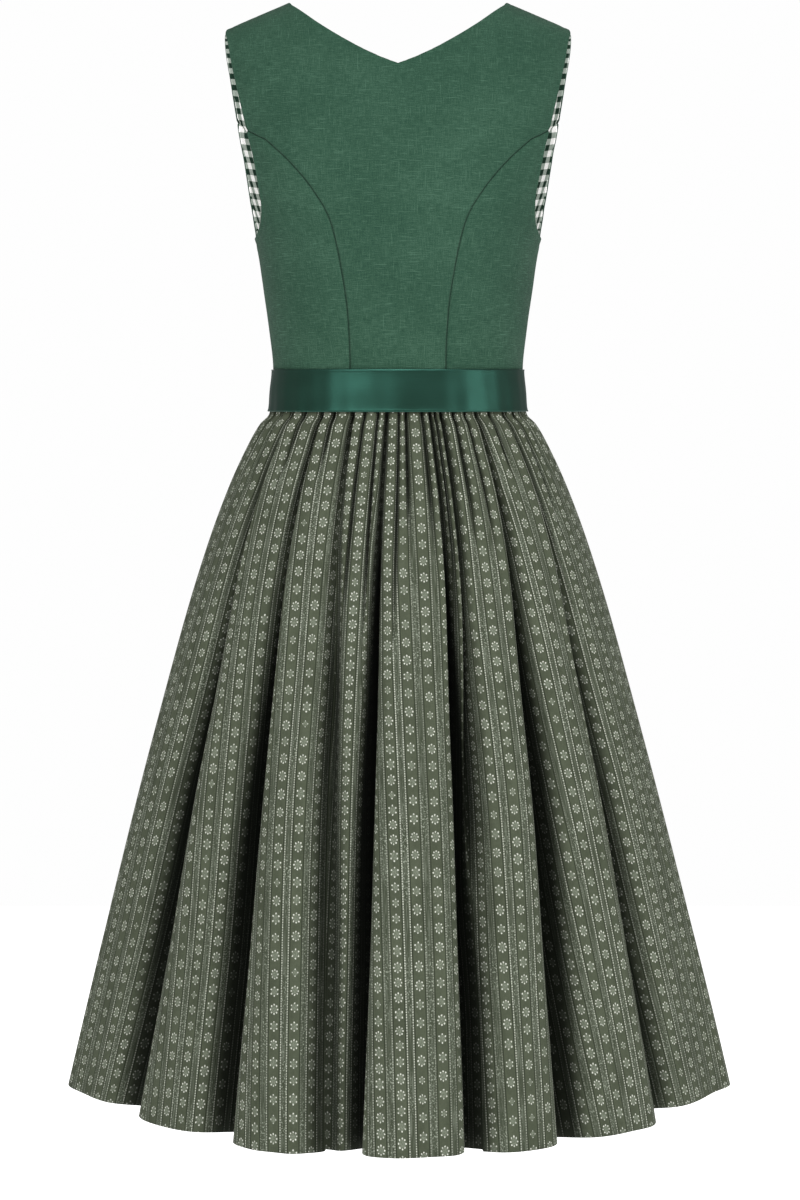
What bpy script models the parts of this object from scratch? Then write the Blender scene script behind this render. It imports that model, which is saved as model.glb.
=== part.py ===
"""A sleeveless dirndl dress as it stands when worn, with nothing inside it.

A fitted linen bodice with princess seams and a gingham lining, a satin ribbon round the waist,
and a full cotton skirt of four widths pleated into the waist seam. Every piece is a thin wall
with an outer and an inner face. The back of the dress faces -Y, the front +Y, the wearer's
right is +X and up is +Z. The origin is the middle of the line between the shoulders.
"""
import math

import bpy
import numpy as np

# ---- Driving dimensions, in metres ------------------------------------------------------
SEAM_GAP = 0.0003            # free width left between two pieces
LINEN_WALL = 0.0015          # bodice panels
LINING_WALL = 0.0010
RIBBON_WALL = 0.0012
COTTON_WALL = 0.0012         # skirt widths
WAIST_SEAM_Z = -0.3850       # bodice and skirt meet here, under the ribbon
RIBBON_TOP_Z = -0.3630
RIBBON_BOTTOM_Z = -0.4080
HEM_Z = -1.1000
NECK_HALF_WIDTH = 0.1130     # from the middle to the neck end of the shoulder seam
SHOULDER_SLOPE = 0.433       # fall of the shoulder seam for each metre outwards
SHOULDER_MIDDLE = 0.1470     # distance out at which the shoulder seam is at level zero
NECK_ROUNDING = 0.0300       # radius that rounds the slope off behind the neck
SLOPE_FADE_DEPTH = 0.1300    # the slope of the shoulders has died out at this depth

# Points along the edges of the bodice's pieces. Two edges that are sewn share their points.
SEAM_POINTS = 9              # a princess or side seam, from the waist up
ARMHOLE_POINTS = 9           # the armhole's edge above a princess seam
SHOULDER_POINTS = 5
NECKLINE_POINTS = 8          # the neckline's edge on one side of the back
SIDE_COLUMNS = 6             # across a side panel
TOP_SHAPE_FADE = 2.0         # how soon the rows of a panel lose the shape of its top edge

# One row for each section of the bodice, from the waist seam up to the shoulder ridge. back,
# front and side are the Y of the centre back, of the centre front and of the widest place.
# round_back and round_front are the exponents of the outline's two halves: 2 is an ellipse,
# more is squarer and less is more pointed.
SECTION_COLUMNS = ("level", "half_width", "back", "front", "side", "round_back", "round_front")
BODICE_ROWS = (
    (WAIST_SEAM_Z, 0.1308, -0.0905, 0.1000, 0.004, 2.20, 2.20),
    (-0.3600, 0.1288, -0.0880, 0.0990, 0.004, 2.20, 2.20),
    (-0.3250, 0.1325, -0.0900, 0.1050, 0.004, 2.25, 2.25),
    (-0.2830, 0.1385, -0.0970, 0.1230, 0.006, 2.30, 2.30),
    (-0.2380, 0.1455, -0.1040, 0.1370, 0.008, 2.35, 2.35),
    (-0.1900, 0.1590, -0.1070, 0.1310, 0.009, 2.40, 2.40),
    (-0.1350, 0.1740, -0.1050, 0.1060, 0.006, 2.40, 2.40),
    (-0.0850, 0.1830, -0.0940, 0.0840, 0.000, 2.40, 2.40),
    (-0.0450, 0.1865, -0.0760, 0.0620, -0.005, 2.40, 2.40),
    (-0.0160, 0.1870, -0.0520, 0.0360, -0.009, 2.40, 2.40),
    (-0.0040, 0.1870, -0.0310, 0.0120, -0.010, 2.40, 2.40),
    (0.0000, 0.1870, -0.0100, -0.0100, -0.010, 2.40, 2.40),
)

# The armhole's edge, from the shoulder tip down the back, round under the arm and up the
# front. degrees is the direction seen from above, from 0 at the centre back to 180 in front.
ARMHOLE_COLUMNS = ("level", "degrees")
ARMHOLE_ROWS = (
    (0.0000, 71.0),
    (-0.0180, 67.0),
    (-0.0450, 63.8),
    (-0.0850, 59.8),
    (-0.1250, 57.6),
    (-0.1650, 57.4),
    (-0.2050, 62.0),
    (-0.2240, 74.0),
    (-0.2280, 90.0),
    (-0.2220, 98.0),
    (-0.1880, 105.5),
    (-0.1500, 111.0),
    (-0.1050, 112.5),
    (-0.0620, 111.8),
    (-0.0200, 108.5),
    (0.0000, 109.0),
)
UNDERARM_ROW = 8             # the armhole's lowest place, where the side seam ends
BACK_PRINCESS_ROW = 3.9      # where the back's curved seam runs into the armhole
FRONT_PRINCESS_ROW = 12.0    # and the front's

# The curved seams between centre and side panels, from the waist up to the armhole.
PRINCESS_COLUMNS = ("out", "height")
BACK_PRINCESS_ROWS = (
    (0.0480, -0.3850),
    (0.0500, -0.3200),
    (0.0560, -0.2700),
    (0.0680, -0.2160),
    (0.0860, -0.1835),
    (0.1090, -0.1555),
    (0.1350, -0.1310),
)
FRONT_PRINCESS_ROWS = (
    (0.0540, -0.3850),
    (0.0570, -0.3400),
    (0.0660, -0.2900),
    (0.0800, -0.2450),
    (0.0980, -0.2050),
    (0.1180, -0.1680),
    (0.1400, -0.1350),
)

# The cut edge of the neck opening, from the middle outwards to near the shoulder seam.
NECKLINE_COLUMNS = ("out", "height")
BACK_NECKLINE_ROWS = (
    (0.0000, -0.0555),
    (0.0200, -0.0475),
    (0.0400, -0.0375),
    (0.0610, -0.0250),
    (0.0815, -0.0110),
    (0.1000, 0.0030),
)
FRONT_NECKLINE_ROWS = (
    (0.0000, -0.1620),
    (0.0240, -0.1330),
    (0.0480, -0.1000),
    (0.0700, -0.0650),
    (0.0890, -0.0310),
    (0.1020, -0.0070),
)

# One row for each section of the skirt's outer shape, from the waist seam to the hem.
SKIRT_ROWS = (
    (WAIST_SEAM_Z - SEAM_GAP, 0.1308, -0.0905, 0.1000, 0.004, 2.20, 2.20),
    (RIBBON_BOTTOM_Z, 0.1334, -0.0930, 0.1030, 0.004, 2.20, 2.20),
    (-0.4200, 0.1445, -0.1010, 0.1110, 0.004, 2.16, 2.20),
    (-0.4450, 0.1585, -0.1140, 0.1230, 0.003, 2.10, 2.15),
    (-0.4850, 0.1770, -0.1335, 0.1410, 0.003, 2.02, 2.10),
    (-0.5500, 0.2015, -0.1620, 0.1670, 0.002, 1.92, 2.06),
    (-0.6450, 0.2320, -0.1980, 0.1980, 0.002, 1.80, 2.02),
    (-0.7850, 0.2680, -0.2460, 0.2390, 0.006, 1.70, 2.00),
    (-0.9400, 0.3060, -0.2900, 0.2760, 0.016, 1.59, 1.96),
    (HEM_Z, 0.3430, -0.3340, 0.3120, 0.028, 1.53, 1.94),
)

# The skirt's main folds, round from the wearer's left front through the centre back. waist and
# hem are directions in degrees from the centre back. depth and width are the fold's size at
# the hem, ends is the share of the skirt's length at which it has faded, or 2 if it runs to
# the hem, and pleats is the number of waist pleats up to the next fold.
FOLD_COLUMNS = ("waist", "hem", "depth", "width", "ends", "pleats")
FOLD_ROWS = (
    (-172.0, -172.0, 0.044, 0.013, 2.00, 3),
    (-150.0, -151.0, 0.040, 0.012, 2.00, 3),
    (-131.0, -132.0, 0.046, 0.014, 2.00, 3),
    (-114.0, -115.0, 0.038, 0.012, 2.00, 3),
    (-95.0, -98.0, 0.042, 0.013, 2.00, 5),
    (-61.0, -63.5, 0.046, 0.013, 2.00, 2),
    (-49.5, -35.5, 0.048, 0.013, 2.00, 3),
    (-27.5, -16.0, 0.030, 0.020, 2.00, 3),
    (-6.2, -7.8, 0.044, 0.012, 2.00, 2),
    (4.5, 5.5, 0.034, 0.011, 0.66, 2),
    (21.3, 14.8, 0.046, 0.012, 2.00, 2),
    (28.2, 18.0, 0.036, 0.010, 0.62, 3),
    (46.0, 34.5, 0.048, 0.013, 2.00, 2),
    (61.0, 60.5, 0.044, 0.014, 2.00, 5),
    (95.0, 98.0, 0.042, 0.013, 2.00, 2),
    (112.0, 113.0, 0.038, 0.012, 2.00, 3),
    (133.0, 133.0, 0.046, 0.014, 2.00, 3),
    (156.0, 157.0, 0.042, 0.012, 2.00, 4),
)
FOLD_OPENS = 0.34            # share of the length at which a fold has reached its full depth
FOLD_BROADENS = 0.45         # and its full width
FOLD_HEM_GAIN = 0.15         # part of a fold's depth that comes only towards the hem
FOLD_FADES = 0.60            # a fold that ends starts to fade at this part of its own length
FOLD_ROUNDNESS = 1.8         # exponent of a fold's cross-section: 2 is a bell, less is sharper
FAN_POWER = 0.8              # how the folds fan out: 1 is evenly down the skirt, less is sooner
PLEAT_DEPTH = 0.0050         # fine pleats, just under the ribbon
PLEAT_WIDTH = 0.0036
PLEAT_TUCKED_DEPTH = 0.0012  # the same pleats pressed flat under the ribbon
PLEAT_SPRINGS = 0.05         # share of the length at which the pleats have sprung open
PLEAT_FADES = 0.08           # share of the length at which they start to fade
PLEAT_ENDS = 0.30            # and at which they have faded
FOLD_SHOULDER = 0.28         # part of a fold that is a broad, soft slope at its sides
FOLD_SHOULDER_REACH = 2.8    # how much broader that slope is than the fold's bottom
LOBE_TUCK = 0.60             # how far the cloth is drawn in towards the folds
MITRE_LIMIT = 1.6            # most that the wall's inner corner is moved out at a sharp bend

# The heights of the skirt's mesh rows, closer together where the pleats spring open.
SKIRT_HEIGHTS = (WAIST_SEAM_Z - SEAM_GAP, -0.4080, -0.4180, -0.4380, -0.4800,
                 -0.5450, -0.6400, -0.7800, -0.9400, HEM_Z)
COLUMNS_PER_PLEAT = 4
# The seams between the four widths lie in the bottoms of these folds (row numbers).
SKIRT_SEAM_FOLDS = (2, 6, 12, 16)
SKIRT_WIDTH_NAMES = ("skirt_left", "skirt_back", "skirt_right", "skirt_front")

RIBBON_COLUMNS = 96
RIBBON_HEIGHTS = (RIBBON_BOTTOM_Z, WAIST_SEAM_Z, RIBBON_TOP_Z)

LINEN_GREEN = (0.047, 0.114, 0.076, 1.0)
GINGHAM_GREEN = (0.223, 0.305, 0.254, 1.0)
SATIN_GREEN = (0.021, 0.091, 0.061, 1.0)
COTTON_OLIVE = (0.114, 0.130, 0.093, 1.0)

# Steps for measuring and slopes, in radians or rows, and points along a curve being measured.
SMALL_STEP = 0.002
CURVE_POINTS = 60
PROFILE_POINTS = 400
LEVEL_ROUNDS = 40            # rounds of the search for the level under a sloping shoulder


# ---- Reading the tables -----------------------------------------------------------------
def named_columns(names, rows):
    return {name: np.array(values) for name, values in zip(names, zip(*rows))}


BODICE = named_columns(SECTION_COLUMNS, BODICE_ROWS)
SKIRT = named_columns(SECTION_COLUMNS, SKIRT_ROWS)
ARMHOLE = named_columns(ARMHOLE_COLUMNS, ARMHOLE_ROWS)
BACK_PRINCESS = named_columns(PRINCESS_COLUMNS, BACK_PRINCESS_ROWS)
FRONT_PRINCESS = named_columns(PRINCESS_COLUMNS, FRONT_PRINCESS_ROWS)
BACK_NECKLINE = named_columns(NECKLINE_COLUMNS, BACK_NECKLINE_ROWS)
FRONT_NECKLINE = named_columns(NECKLINE_COLUMNS, FRONT_NECKLINE_ROWS)
FOLDS = [dict(zip(FOLD_COLUMNS, row)) for row in FOLD_ROWS]


def smooth_column(table, name, places):
    """One column of a table, read at fractional row numbers on a smooth curve."""
    values = table[name]
    slopes = np.gradient(values)
    if table is BODICE and name == "level":
        slopes[-1] = 0.0
    base = np.clip(np.floor(places).astype(int), 0, len(values) - 2)
    part = places - base
    step = values[base + 1] - values[base]
    start = slopes[base]
    end = slopes[base + 1]
    bend = 3 * step - 2 * start - end
    twist = start + end - 2 * step
    return values[base] + part * (start + part * (bend + part * twist))


def place_of(table, level):
    """The fractional row number at which a table's section has the given level."""
    last = len(table["level"]) - 1.0
    samples = np.linspace(0.0, last, PROFILE_POINTS)
    levels = smooth_column(table, "level", samples)
    if levels[-1] < levels[0]:
        return np.interp(-np.asarray(level), -levels, samples)
    return np.interp(level, levels, samples)


def signed_power(value, power):
    return np.sign(value) * np.abs(value) ** power


def unit(vectors):
    return vectors / np.linalg.norm(vectors, axis=-1, keepdims=True)


# ---- The bodice's surface ---------------------------------------------------------------
SHOULDER_PLACE = len(BODICE_ROWS) - 1.0
RIBBON_TOP_PLACE = float(place_of(BODICE, RIBBON_TOP_Z))


def back_profile():
    """Row numbers up the centre back, and the length of its profile up to each of them."""
    samples = np.linspace(0.0, SHOULDER_PLACE, PROFILE_POINTS)
    level = smooth_column(BODICE, "level", samples)
    back = smooth_column(BODICE, "back", samples)
    length = np.concatenate([[0.0], np.cumsum(np.hypot(np.diff(level), np.diff(back)))])
    return samples, length


PROFILE_ROWS, PROFILE_LENGTHS = back_profile()


def shoulder_rise(out, level):
    """Height that the slope of the shoulders adds at a distance out from the middle."""
    strength = np.clip(1.0 + level / SLOPE_FADE_DEPTH, 0.0, None) ** 2
    distance = np.sqrt(out ** 2 + NECK_ROUNDING ** 2)
    return SHOULDER_SLOPE * (SHOULDER_MIDDLE - distance) * strength


def section_sizes(table, angle, place):
    """A level section's half width, depth from its widest place, that place's Y and power."""
    half_width, back, front, side, round_back, round_front = (
        smooth_column(table, name, place) for name in SECTION_COLUMNS[1:])
    depth = np.where(np.cos(angle) > 0.0, side - back, front - side)
    power = np.where(np.cos(angle) > 0.0, round_back, round_front)
    return half_width, depth, side, power


def section_point(table, angle, place):
    """X and Y of a level section. The angle turns faster than the true direction does where
    the section is flat, from 0 at the centre back to 90 degrees at its widest place."""
    half_width, depth, side, power = section_sizes(table, angle, place)
    x = half_width * signed_power(np.sin(angle), 2.0 / power)
    y = side - depth * signed_power(np.cos(angle), 2.0 / power)
    return x, y


def bodice_point(angle, place):
    """Outer face of the bodice: a direction from the centre back and a row of BODICE_ROWS."""
    level = smooth_column(BODICE, "level", place)
    x, y = section_point(BODICE, angle, place)
    return np.stack([x, y, level + shoulder_rise(x, level)], axis=-1)


def bodice_normal(angle, place):
    """Outward direction of the bodice's surface, from small steps both ways."""
    middle = np.clip(place, SMALL_STEP, SHOULDER_PLACE - SMALL_STEP)
    along = bodice_point(angle + SMALL_STEP, middle) - bodice_point(angle - SMALL_STEP, middle)
    upward = bodice_point(angle, middle + SMALL_STEP) - bodice_point(angle, middle - SMALL_STEP)
    return unit(np.cross(along, upward))


def bodice_place(out, height, in_front):
    """The direction and row of the bodice's surface at a distance out and a height."""
    level = np.array(height, dtype=float)
    for _ in range(LEVEL_ROUNDS):
        level = height - shoulder_rise(out, level)
    place = place_of(BODICE, level)
    half_width = smooth_column(BODICE, "half_width", place)
    power = smooth_column(BODICE, "round_back", place)
    angle = np.arcsin(np.clip(out / half_width, 0.0, 1.0) ** (power / 2.0))
    if in_front:
        angle = math.pi - angle
    return np.stack([angle, place], axis=-1)


# ---- Edges of the bodice's panels, each a run of (direction, row) pairs -------------------
def spread(edge, count):
    """Points at equal steps of length along an edge."""
    points = bodice_point(edge[:, 0], edge[:, 1])
    run = np.concatenate([[0.0], np.cumsum(np.linalg.norm(np.diff(points, axis=0), axis=1))])
    wanted = np.linspace(0.0, run[-1], count)
    return np.stack([np.interp(wanted, run, column) for column in edge.T], axis=-1)


def armhole_edge(first_row, last_row):
    rows = np.linspace(first_row, last_row, CURVE_POINTS)
    angle = np.radians(smooth_column(ARMHOLE, "degrees", rows))
    level = smooth_column(ARMHOLE, "level", rows)
    return np.stack([angle, place_of(BODICE, level)], axis=-1)


def drawn_edge(table, in_front):
    """The run of a table whose columns are a distance out and a height."""
    rows = np.linspace(0.0, len(table["out"]) - 1.0, CURVE_POINTS)
    return bodice_place(smooth_column(table, "out", rows), smooth_column(table, "height", rows), in_front)


def princess_edge(table, meeting_row, in_front):
    """A curved seam from the waist up to where it runs into the armhole."""
    seam = drawn_edge(table, in_front)
    return np.concatenate([seam, armhole_edge(meeting_row, meeting_row)[:1]])


def neck_point(in_front):
    """The neck end of the shoulder seam."""
    power = BODICE["round_back"][-1]
    angle = math.asin((NECK_HALF_WIDTH / BODICE["half_width"][-1]) ** (power / 2.0))
    return np.array([[math.pi - angle if in_front else angle, SHOULDER_PLACE]])


def neckline_edge(table, in_front):
    """The neck opening's edge from the middle out to the shoulder seam."""
    return np.concatenate([drawn_edge(table, in_front), neck_point(in_front)])


def level_edge(first, last, count):
    """A run between two points of the surface that lie on the same row."""
    angles = np.linspace(first[0], last[0], CURVE_POINTS)
    return spread(np.stack([angles, np.full(CURVE_POINTS, first[1])], axis=-1), count)


def upright_edge(angle, bottom, top):
    rows = np.linspace(bottom, top, CURVE_POINTS)
    return np.stack([np.full(CURVE_POINTS, angle), rows], axis=-1)


def seam_points(seam):
    """A seam's points: one at the waist, one level with the ribbon's top, the rest above."""
    start = [np.interp(RIBBON_TOP_PLACE, seam[:, 1], seam[:, 0]), RIBBON_TOP_PLACE]
    above = np.concatenate([[start], seam[seam[:, 1] > RIBBON_TOP_PLACE]])
    return np.concatenate([seam[:1], spread(above, SEAM_POINTS)])


def measured_edge(edge):
    """An edge with its rows changed into lengths up the back's profile."""
    return np.stack([edge[:, 0], np.interp(edge[:, 1], PROFILE_ROWS, PROFILE_LENGTHS)], axis=-1)


def fill_patch(bottom, top, left, right):
    """Blend four edges into a grid of (direction, row) pairs, rows going up. The rows are
    blended as lengths up the back, and the top edge's own shape dies out downwards."""
    bottom, top, left, right = (measured_edge(edge) for edge in (bottom, top, left, right))
    across = np.linspace(0.0, 1.0, len(bottom))[None, :, None]
    upward = np.linspace(0.0, 1.0, len(left))[:, None, None]
    sides = (1 - across) * left[:, None] + across * right[:, None]
    bottom_shape = bottom - (bottom[0] + across[0] * (bottom[-1] - bottom[0]))
    top_shape = top - (top[0] + across[0] * (top[-1] - top[0]))
    grid = sides + (1 - upward) * bottom_shape[None] + upward ** TOP_SHAPE_FADE * top_shape[None]
    rows = np.interp(grid[..., 1], PROFILE_LENGTHS, PROFILE_ROWS)
    return np.stack([grid[..., 0], rows], axis=-1)


def fill_panel(top, left, right):
    """A panel's grid of (direction, row) pairs. Its two lowest rows lie under the ribbon."""
    lowest = level_edge(left[0], right[0], len(top))
    above = level_edge(left[1], right[1], len(top))
    return np.concatenate([lowest[None], fill_patch(above, top, left[1:], right[1:])])


# ---- Turning grids of points into closed walls --------------------------------------------
def inward_step(edge, inside, amount):
    """A step of the given length from an edge towards the points inside it, square to it."""
    step = inside - edge
    run = unit(np.gradient(edge, axis=0))
    return amount * unit(step - run * np.sum(step * run, axis=-1, keepdims=True))


def draw_in(grid, amount):
    """Move a grid's border inwards along the surface, which leaves a seam's gap."""
    moved = grid.copy()
    for edge, inside in ((0, 1), (-1, -2)):
        moved[edge] += inward_step(grid[edge], grid[inside], amount)
        moved[:, edge] += inward_step(grid[:, edge], grid[:, inside], amount)
    return moved


def wall_faces(outer, wrap):
    """Triangles of a closed wall whose outer grid comes first and whose inner grid follows.
    Both faces of the wall are split along the same diagonals, the shorter ones."""
    rows, columns = outer.shape[:2]
    flat = outer.reshape(-1, 3)
    layer = rows * columns
    spans = columns if wrap else columns - 1
    faces = []

    def split(a, b, c, d):
        faces.append((a, b, c))
        faces.append((a, c, d))

    for row in range(rows - 1):
        for column in range(spans):
            beside = (column + 1) % columns
            a = row * columns + column
            b = row * columns + beside
            c = (row + 1) * columns + beside
            d = (row + 1) * columns + column
            if np.linalg.norm(flat[a] - flat[c]) > np.linalg.norm(flat[b] - flat[d]):
                a, b, c, d = b, c, d, a
            split(a, b, c, d)
            faces.append((layer + a, layer + c, layer + b))
            faces.append((layer + a, layer + d, layer + c))
    top = (rows - 1) * columns
    for column in range(spans):
        beside = (column + 1) % columns
        split(layer + column, layer + beside, beside, column)
        split(top + column, top + beside, layer + top + beside, layer + top + column)
    if not wrap:
        end = columns - 1
        for row in range(rows - 1):
            low = row * columns
            high = low + columns
            split(layer + low, low, high, layer + high)
            split(low + end, layer + low + end, layer + high + end, high + end)
    return faces


def make_wall(name, outer, inner, material, wrap=False):
    """A closed wall between two grids whose rows go up and whose columns turn to the right."""
    points = np.concatenate([outer.reshape(-1, 3), inner.reshape(-1, 3)])
    mesh = bpy.data.meshes.new(name)
    mesh.from_pydata(points.tolist(), [], wall_faces(outer, wrap))
    mesh.materials.append(material)
    mesh.shade_smooth()
    mesh.set_sharp_from_angle(angle=math.radians(60))
    made = bpy.data.objects.new(name, mesh)
    bpy.context.collection.objects.link(made)
    return made


def make_material(name, colour, roughness, sheen=0.0):
    material = bpy.data.materials.new(name)
    material.use_nodes = True
    shader = material.node_tree.nodes["Principled BSDF"]
    shader.inputs["Base Color"].default_value = colour
    shader.inputs["Roughness"].default_value = roughness
    shader.inputs["Metallic"].default_value = 0.0
    shader.inputs["Sheen Weight"].default_value = sheen
    return material


# ---- Bodice and lining --------------------------------------------------------------------
def make_bodice_piece(name, grid, material, depth, wall, inset):
    """One panel: its part of the surface, moved inwards by depth and given a wall."""
    angle = grid[..., 0]
    place = grid[..., 1]
    surface = bodice_point(angle, place)
    normal = bodice_normal(angle, place)
    outer = draw_in(surface - depth * normal, inset)
    inner = draw_in(surface - (depth + wall) * normal, inset)
    make_wall(name, outer, inner, material)


def mirrored(grid):
    """The same panel on the other side of the body, its columns still turning to the right."""
    flipped = grid[:, ::-1].copy()
    flipped[..., 0] = -flipped[..., 0]
    return flipped


def join_edges(first, second):
    return np.concatenate([first, second[1:]])


def side_seam():
    """The side seam from the waist up to the underarm."""
    underarm = armhole_edge(UNDERARM_ROW, UNDERARM_ROW)[0]
    return seam_points(upright_edge(underarm[0], 0.0, underarm[1]))


def back_princess():
    return seam_points(princess_edge(BACK_PRINCESS, BACK_PRINCESS_ROW, False))


def front_princess():
    return seam_points(princess_edge(FRONT_PRINCESS, FRONT_PRINCESS_ROW, True))


def back_panel_grid():
    """The centre back in one piece, from its left edge to its right edge."""
    armhole = spread(armhole_edge(BACK_PRINCESS_ROW, 0.0), ARMHOLE_POINTS)
    outer = join_edges(back_princess(), armhole)
    neck = spread(neckline_edge(BACK_NECKLINE, False), NECKLINE_POINTS)
    top = join_edges(neck, level_edge(neck[-1], outer[-1], SHOULDER_POINTS))
    flip = np.array([-1.0, 1.0])
    whole_top = np.concatenate([top[:0:-1] * flip, top])
    return fill_panel(whole_top, outer * flip, outer)


def front_centre_grid():
    """The right half of the centre front, from the princess seam to the closed front edge."""
    last_row = len(ARMHOLE_ROWS) - 1.0
    armhole = spread(armhole_edge(FRONT_PRINCESS_ROW, last_row), ARMHOLE_POINTS)
    outer = join_edges(front_princess(), armhole)
    neckline = neckline_edge(FRONT_NECKLINE, True)
    closing = seam_points(upright_edge(math.pi, 0.0, neckline[0, 1]))
    opening = join_edges(closing, spread(neckline, ARMHOLE_POINTS))
    top = level_edge(outer[-1], opening[-1], SHOULDER_POINTS)
    return fill_panel(top, outer, opening)


def back_side_grid():
    top = spread(armhole_edge(BACK_PRINCESS_ROW, UNDERARM_ROW), SIDE_COLUMNS)
    return fill_panel(top, back_princess(), side_seam())


def front_side_grid():
    top = spread(armhole_edge(UNDERARM_ROW, FRONT_PRINCESS_ROW), SIDE_COLUMNS)
    return fill_panel(top, side_seam(), front_princess())


def make_bodice(linen, gingham):
    """The bodice's panels, each with its own piece of lining cut to the same shape."""
    pieces = (
        ("back_panel", back_panel_grid()),
        ("back_side_right", back_side_grid()),
        ("back_side_left", mirrored(back_side_grid())),
        ("front_side_right", front_side_grid()),
        ("front_side_left", mirrored(front_side_grid())),
        ("front_centre_right", front_centre_grid()),
        ("front_centre_left", mirrored(front_centre_grid())),
    )
    for name, grid in pieces:
        make_bodice_piece(name, grid, linen, 0.0, LINEN_WALL, SEAM_GAP / 2)
        depth = LINEN_WALL + SEAM_GAP
        make_bodice_piece("lining_" + name, grid, gingham, depth, LINING_WALL, SEAM_GAP)


# ---- Skirt ----------------------------------------------------------------------------------
def skirt_outline(angle, place):
    """The skirt's smooth outer shape, before any fold, at a true direction and a table row."""
    half_width, depth, side, power = section_sizes(SKIRT, angle, place)
    across = np.abs(np.sin(angle) / half_width) ** power
    along = np.abs(np.cos(angle) / depth) ** power
    reach = (across + along) ** (-1.0 / power)
    height = smooth_column(SKIRT, "level", place)
    points = reach * np.sin(angle), side - reach * np.cos(angle), height
    return np.stack(np.broadcast_arrays(*points), axis=-1)


def smooth_step(value, low, high):
    part = np.clip((value - low) / (high - low), 0.0, 1.0)
    return part * part * (3.0 - 2.0 * part)


def lobes():
    """Each main fold with the directions, at the waist and the hem, of the fold after it."""
    for number, fold in enumerate(FOLDS):
        following = FOLDS[(number + 1) % len(FOLDS)]
        turn = 360.0 if number + 1 == len(FOLDS) else 0.0
        yield fold, following["waist"] + turn, following["hem"] + turn


def crease_lines():
    """Every pleat line round the waist: directions, the depth and width of its fold, its end."""
    lines = []
    for fold, next_waist, next_hem in lobes():
        for pleat in range(fold["pleats"]):
            part = pleat / fold["pleats"]
            lines.append({
                "waist": math.radians(fold["waist"] + part * (next_waist - fold["waist"])),
                "hem": math.radians(fold["hem"] + part * (next_hem - fold["hem"])),
                "depth": fold["depth"] if pleat == 0 else 0.0,
                "width": fold["width"],
                "ends": fold["ends"],
            })
    return lines


def fold_columns():
    """Directions at the waist and the hem of every mesh column, drawn in towards the folds."""
    waist, hem = [], []
    for fold, next_waist, next_hem in lobes():
        count = fold["pleats"] * COLUMNS_PER_PLEAT
        even = np.arange(count) / count
        drawn = even - LOBE_TUCK * np.sin(2 * math.pi * even) / (2 * math.pi)
        waist.append(fold["waist"] + even * (next_waist - fold["waist"]))
        hem.append(fold["hem"] + drawn * (next_hem - fold["hem"]))
    return np.radians(np.concatenate(waist)), np.radians(np.concatenate(hem))


def crease_drop(angle, speed, share, fanned):
    """How far every crease draws the cloth in: narrow bottoms with broad, soft shoulders."""
    sprung = smooth_step(share, 0.0, PLEAT_SPRINGS)
    pleat_fade = 1.0 - smooth_step(share, PLEAT_FADES, PLEAT_ENDS)
    pleat_depth = (PLEAT_TUCKED_DEPTH + (PLEAT_DEPTH - PLEAT_TUCKED_DEPTH) * sprung) * pleat_fade
    opened = smooth_step(share, 0.0, FOLD_OPENS) * (1.0 - FOLD_HEM_GAIN + FOLD_HEM_GAIN * share)
    broadened = smooth_step(share, 0.0, FOLD_BROADENS)
    drop = np.zeros(angle.shape)
    for line in crease_lines():
        centre = line["waist"] + (line["hem"] - line["waist"]) * fanned
        turned = (angle - centre + math.pi) % (2 * math.pi) - math.pi
        distance = np.abs(turned) * speed
        fading = 1.0 - smooth_step(share, FOLD_FADES * line["ends"], line["ends"])
        broad = PLEAT_WIDTH + (line["width"] - PLEAT_WIDTH) * broadened
        bottom = np.exp(-(distance / broad) ** FOLD_ROUNDNESS)
        shoulder = np.exp(-(distance / (FOLD_SHOULDER_REACH * broad)) ** 2)
        section = (1.0 - FOLD_SHOULDER) * bottom + FOLD_SHOULDER * shoulder
        folded = line["depth"] * opened * fading * section
        pleated = pleat_depth * np.exp(-(distance / PLEAT_WIDTH) ** FOLD_ROUNDNESS)
        drop = drop + np.maximum(folded, pleated)
    return drop


def skirt_points():
    """The skirt's outer points: one row for each height and one column round the waist."""
    heights = np.array(SKIRT_HEIGHTS)
    share = ((heights[0] - heights) / (heights[0] - heights[-1]))[:, None]
    place = place_of(SKIRT, heights)[:, None]
    at_waist, at_hem = fold_columns()
    fanned = share ** FAN_POWER
    angle = at_waist + (at_hem - at_waist) * fanned
    along = skirt_outline(angle + SMALL_STEP, place) - skirt_outline(angle - SMALL_STEP, place)
    length = np.linalg.norm(along, axis=-1)
    outward = np.stack([along[..., 1], -along[..., 0], 0 * length], axis=-1) / length[..., None]
    drop = crease_drop(angle, length / (2 * SMALL_STEP), share, fanned)
    return skirt_outline(angle, place) - drop[..., None] * outward


def inner_points(outer):
    """The wall's inner points, on the line that halves each bend of the cloth's outer face."""
    after = unit(np.roll(outer, -1, axis=1) - outer)
    before = np.roll(after, 1, axis=1)
    along = unit(after + before)
    normal = unit(np.cross(np.gradient(outer, axis=0), along))
    straightness = np.sum(along * after, axis=-1, keepdims=True)
    mitre = np.minimum(1.0 / np.maximum(straightness, 1.0 / MITRE_LIMIT), MITRE_LIMIT)
    inner = outer - COTTON_WALL * mitre * normal
    inner[..., 2] = outer[..., 2]
    return inner


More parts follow.
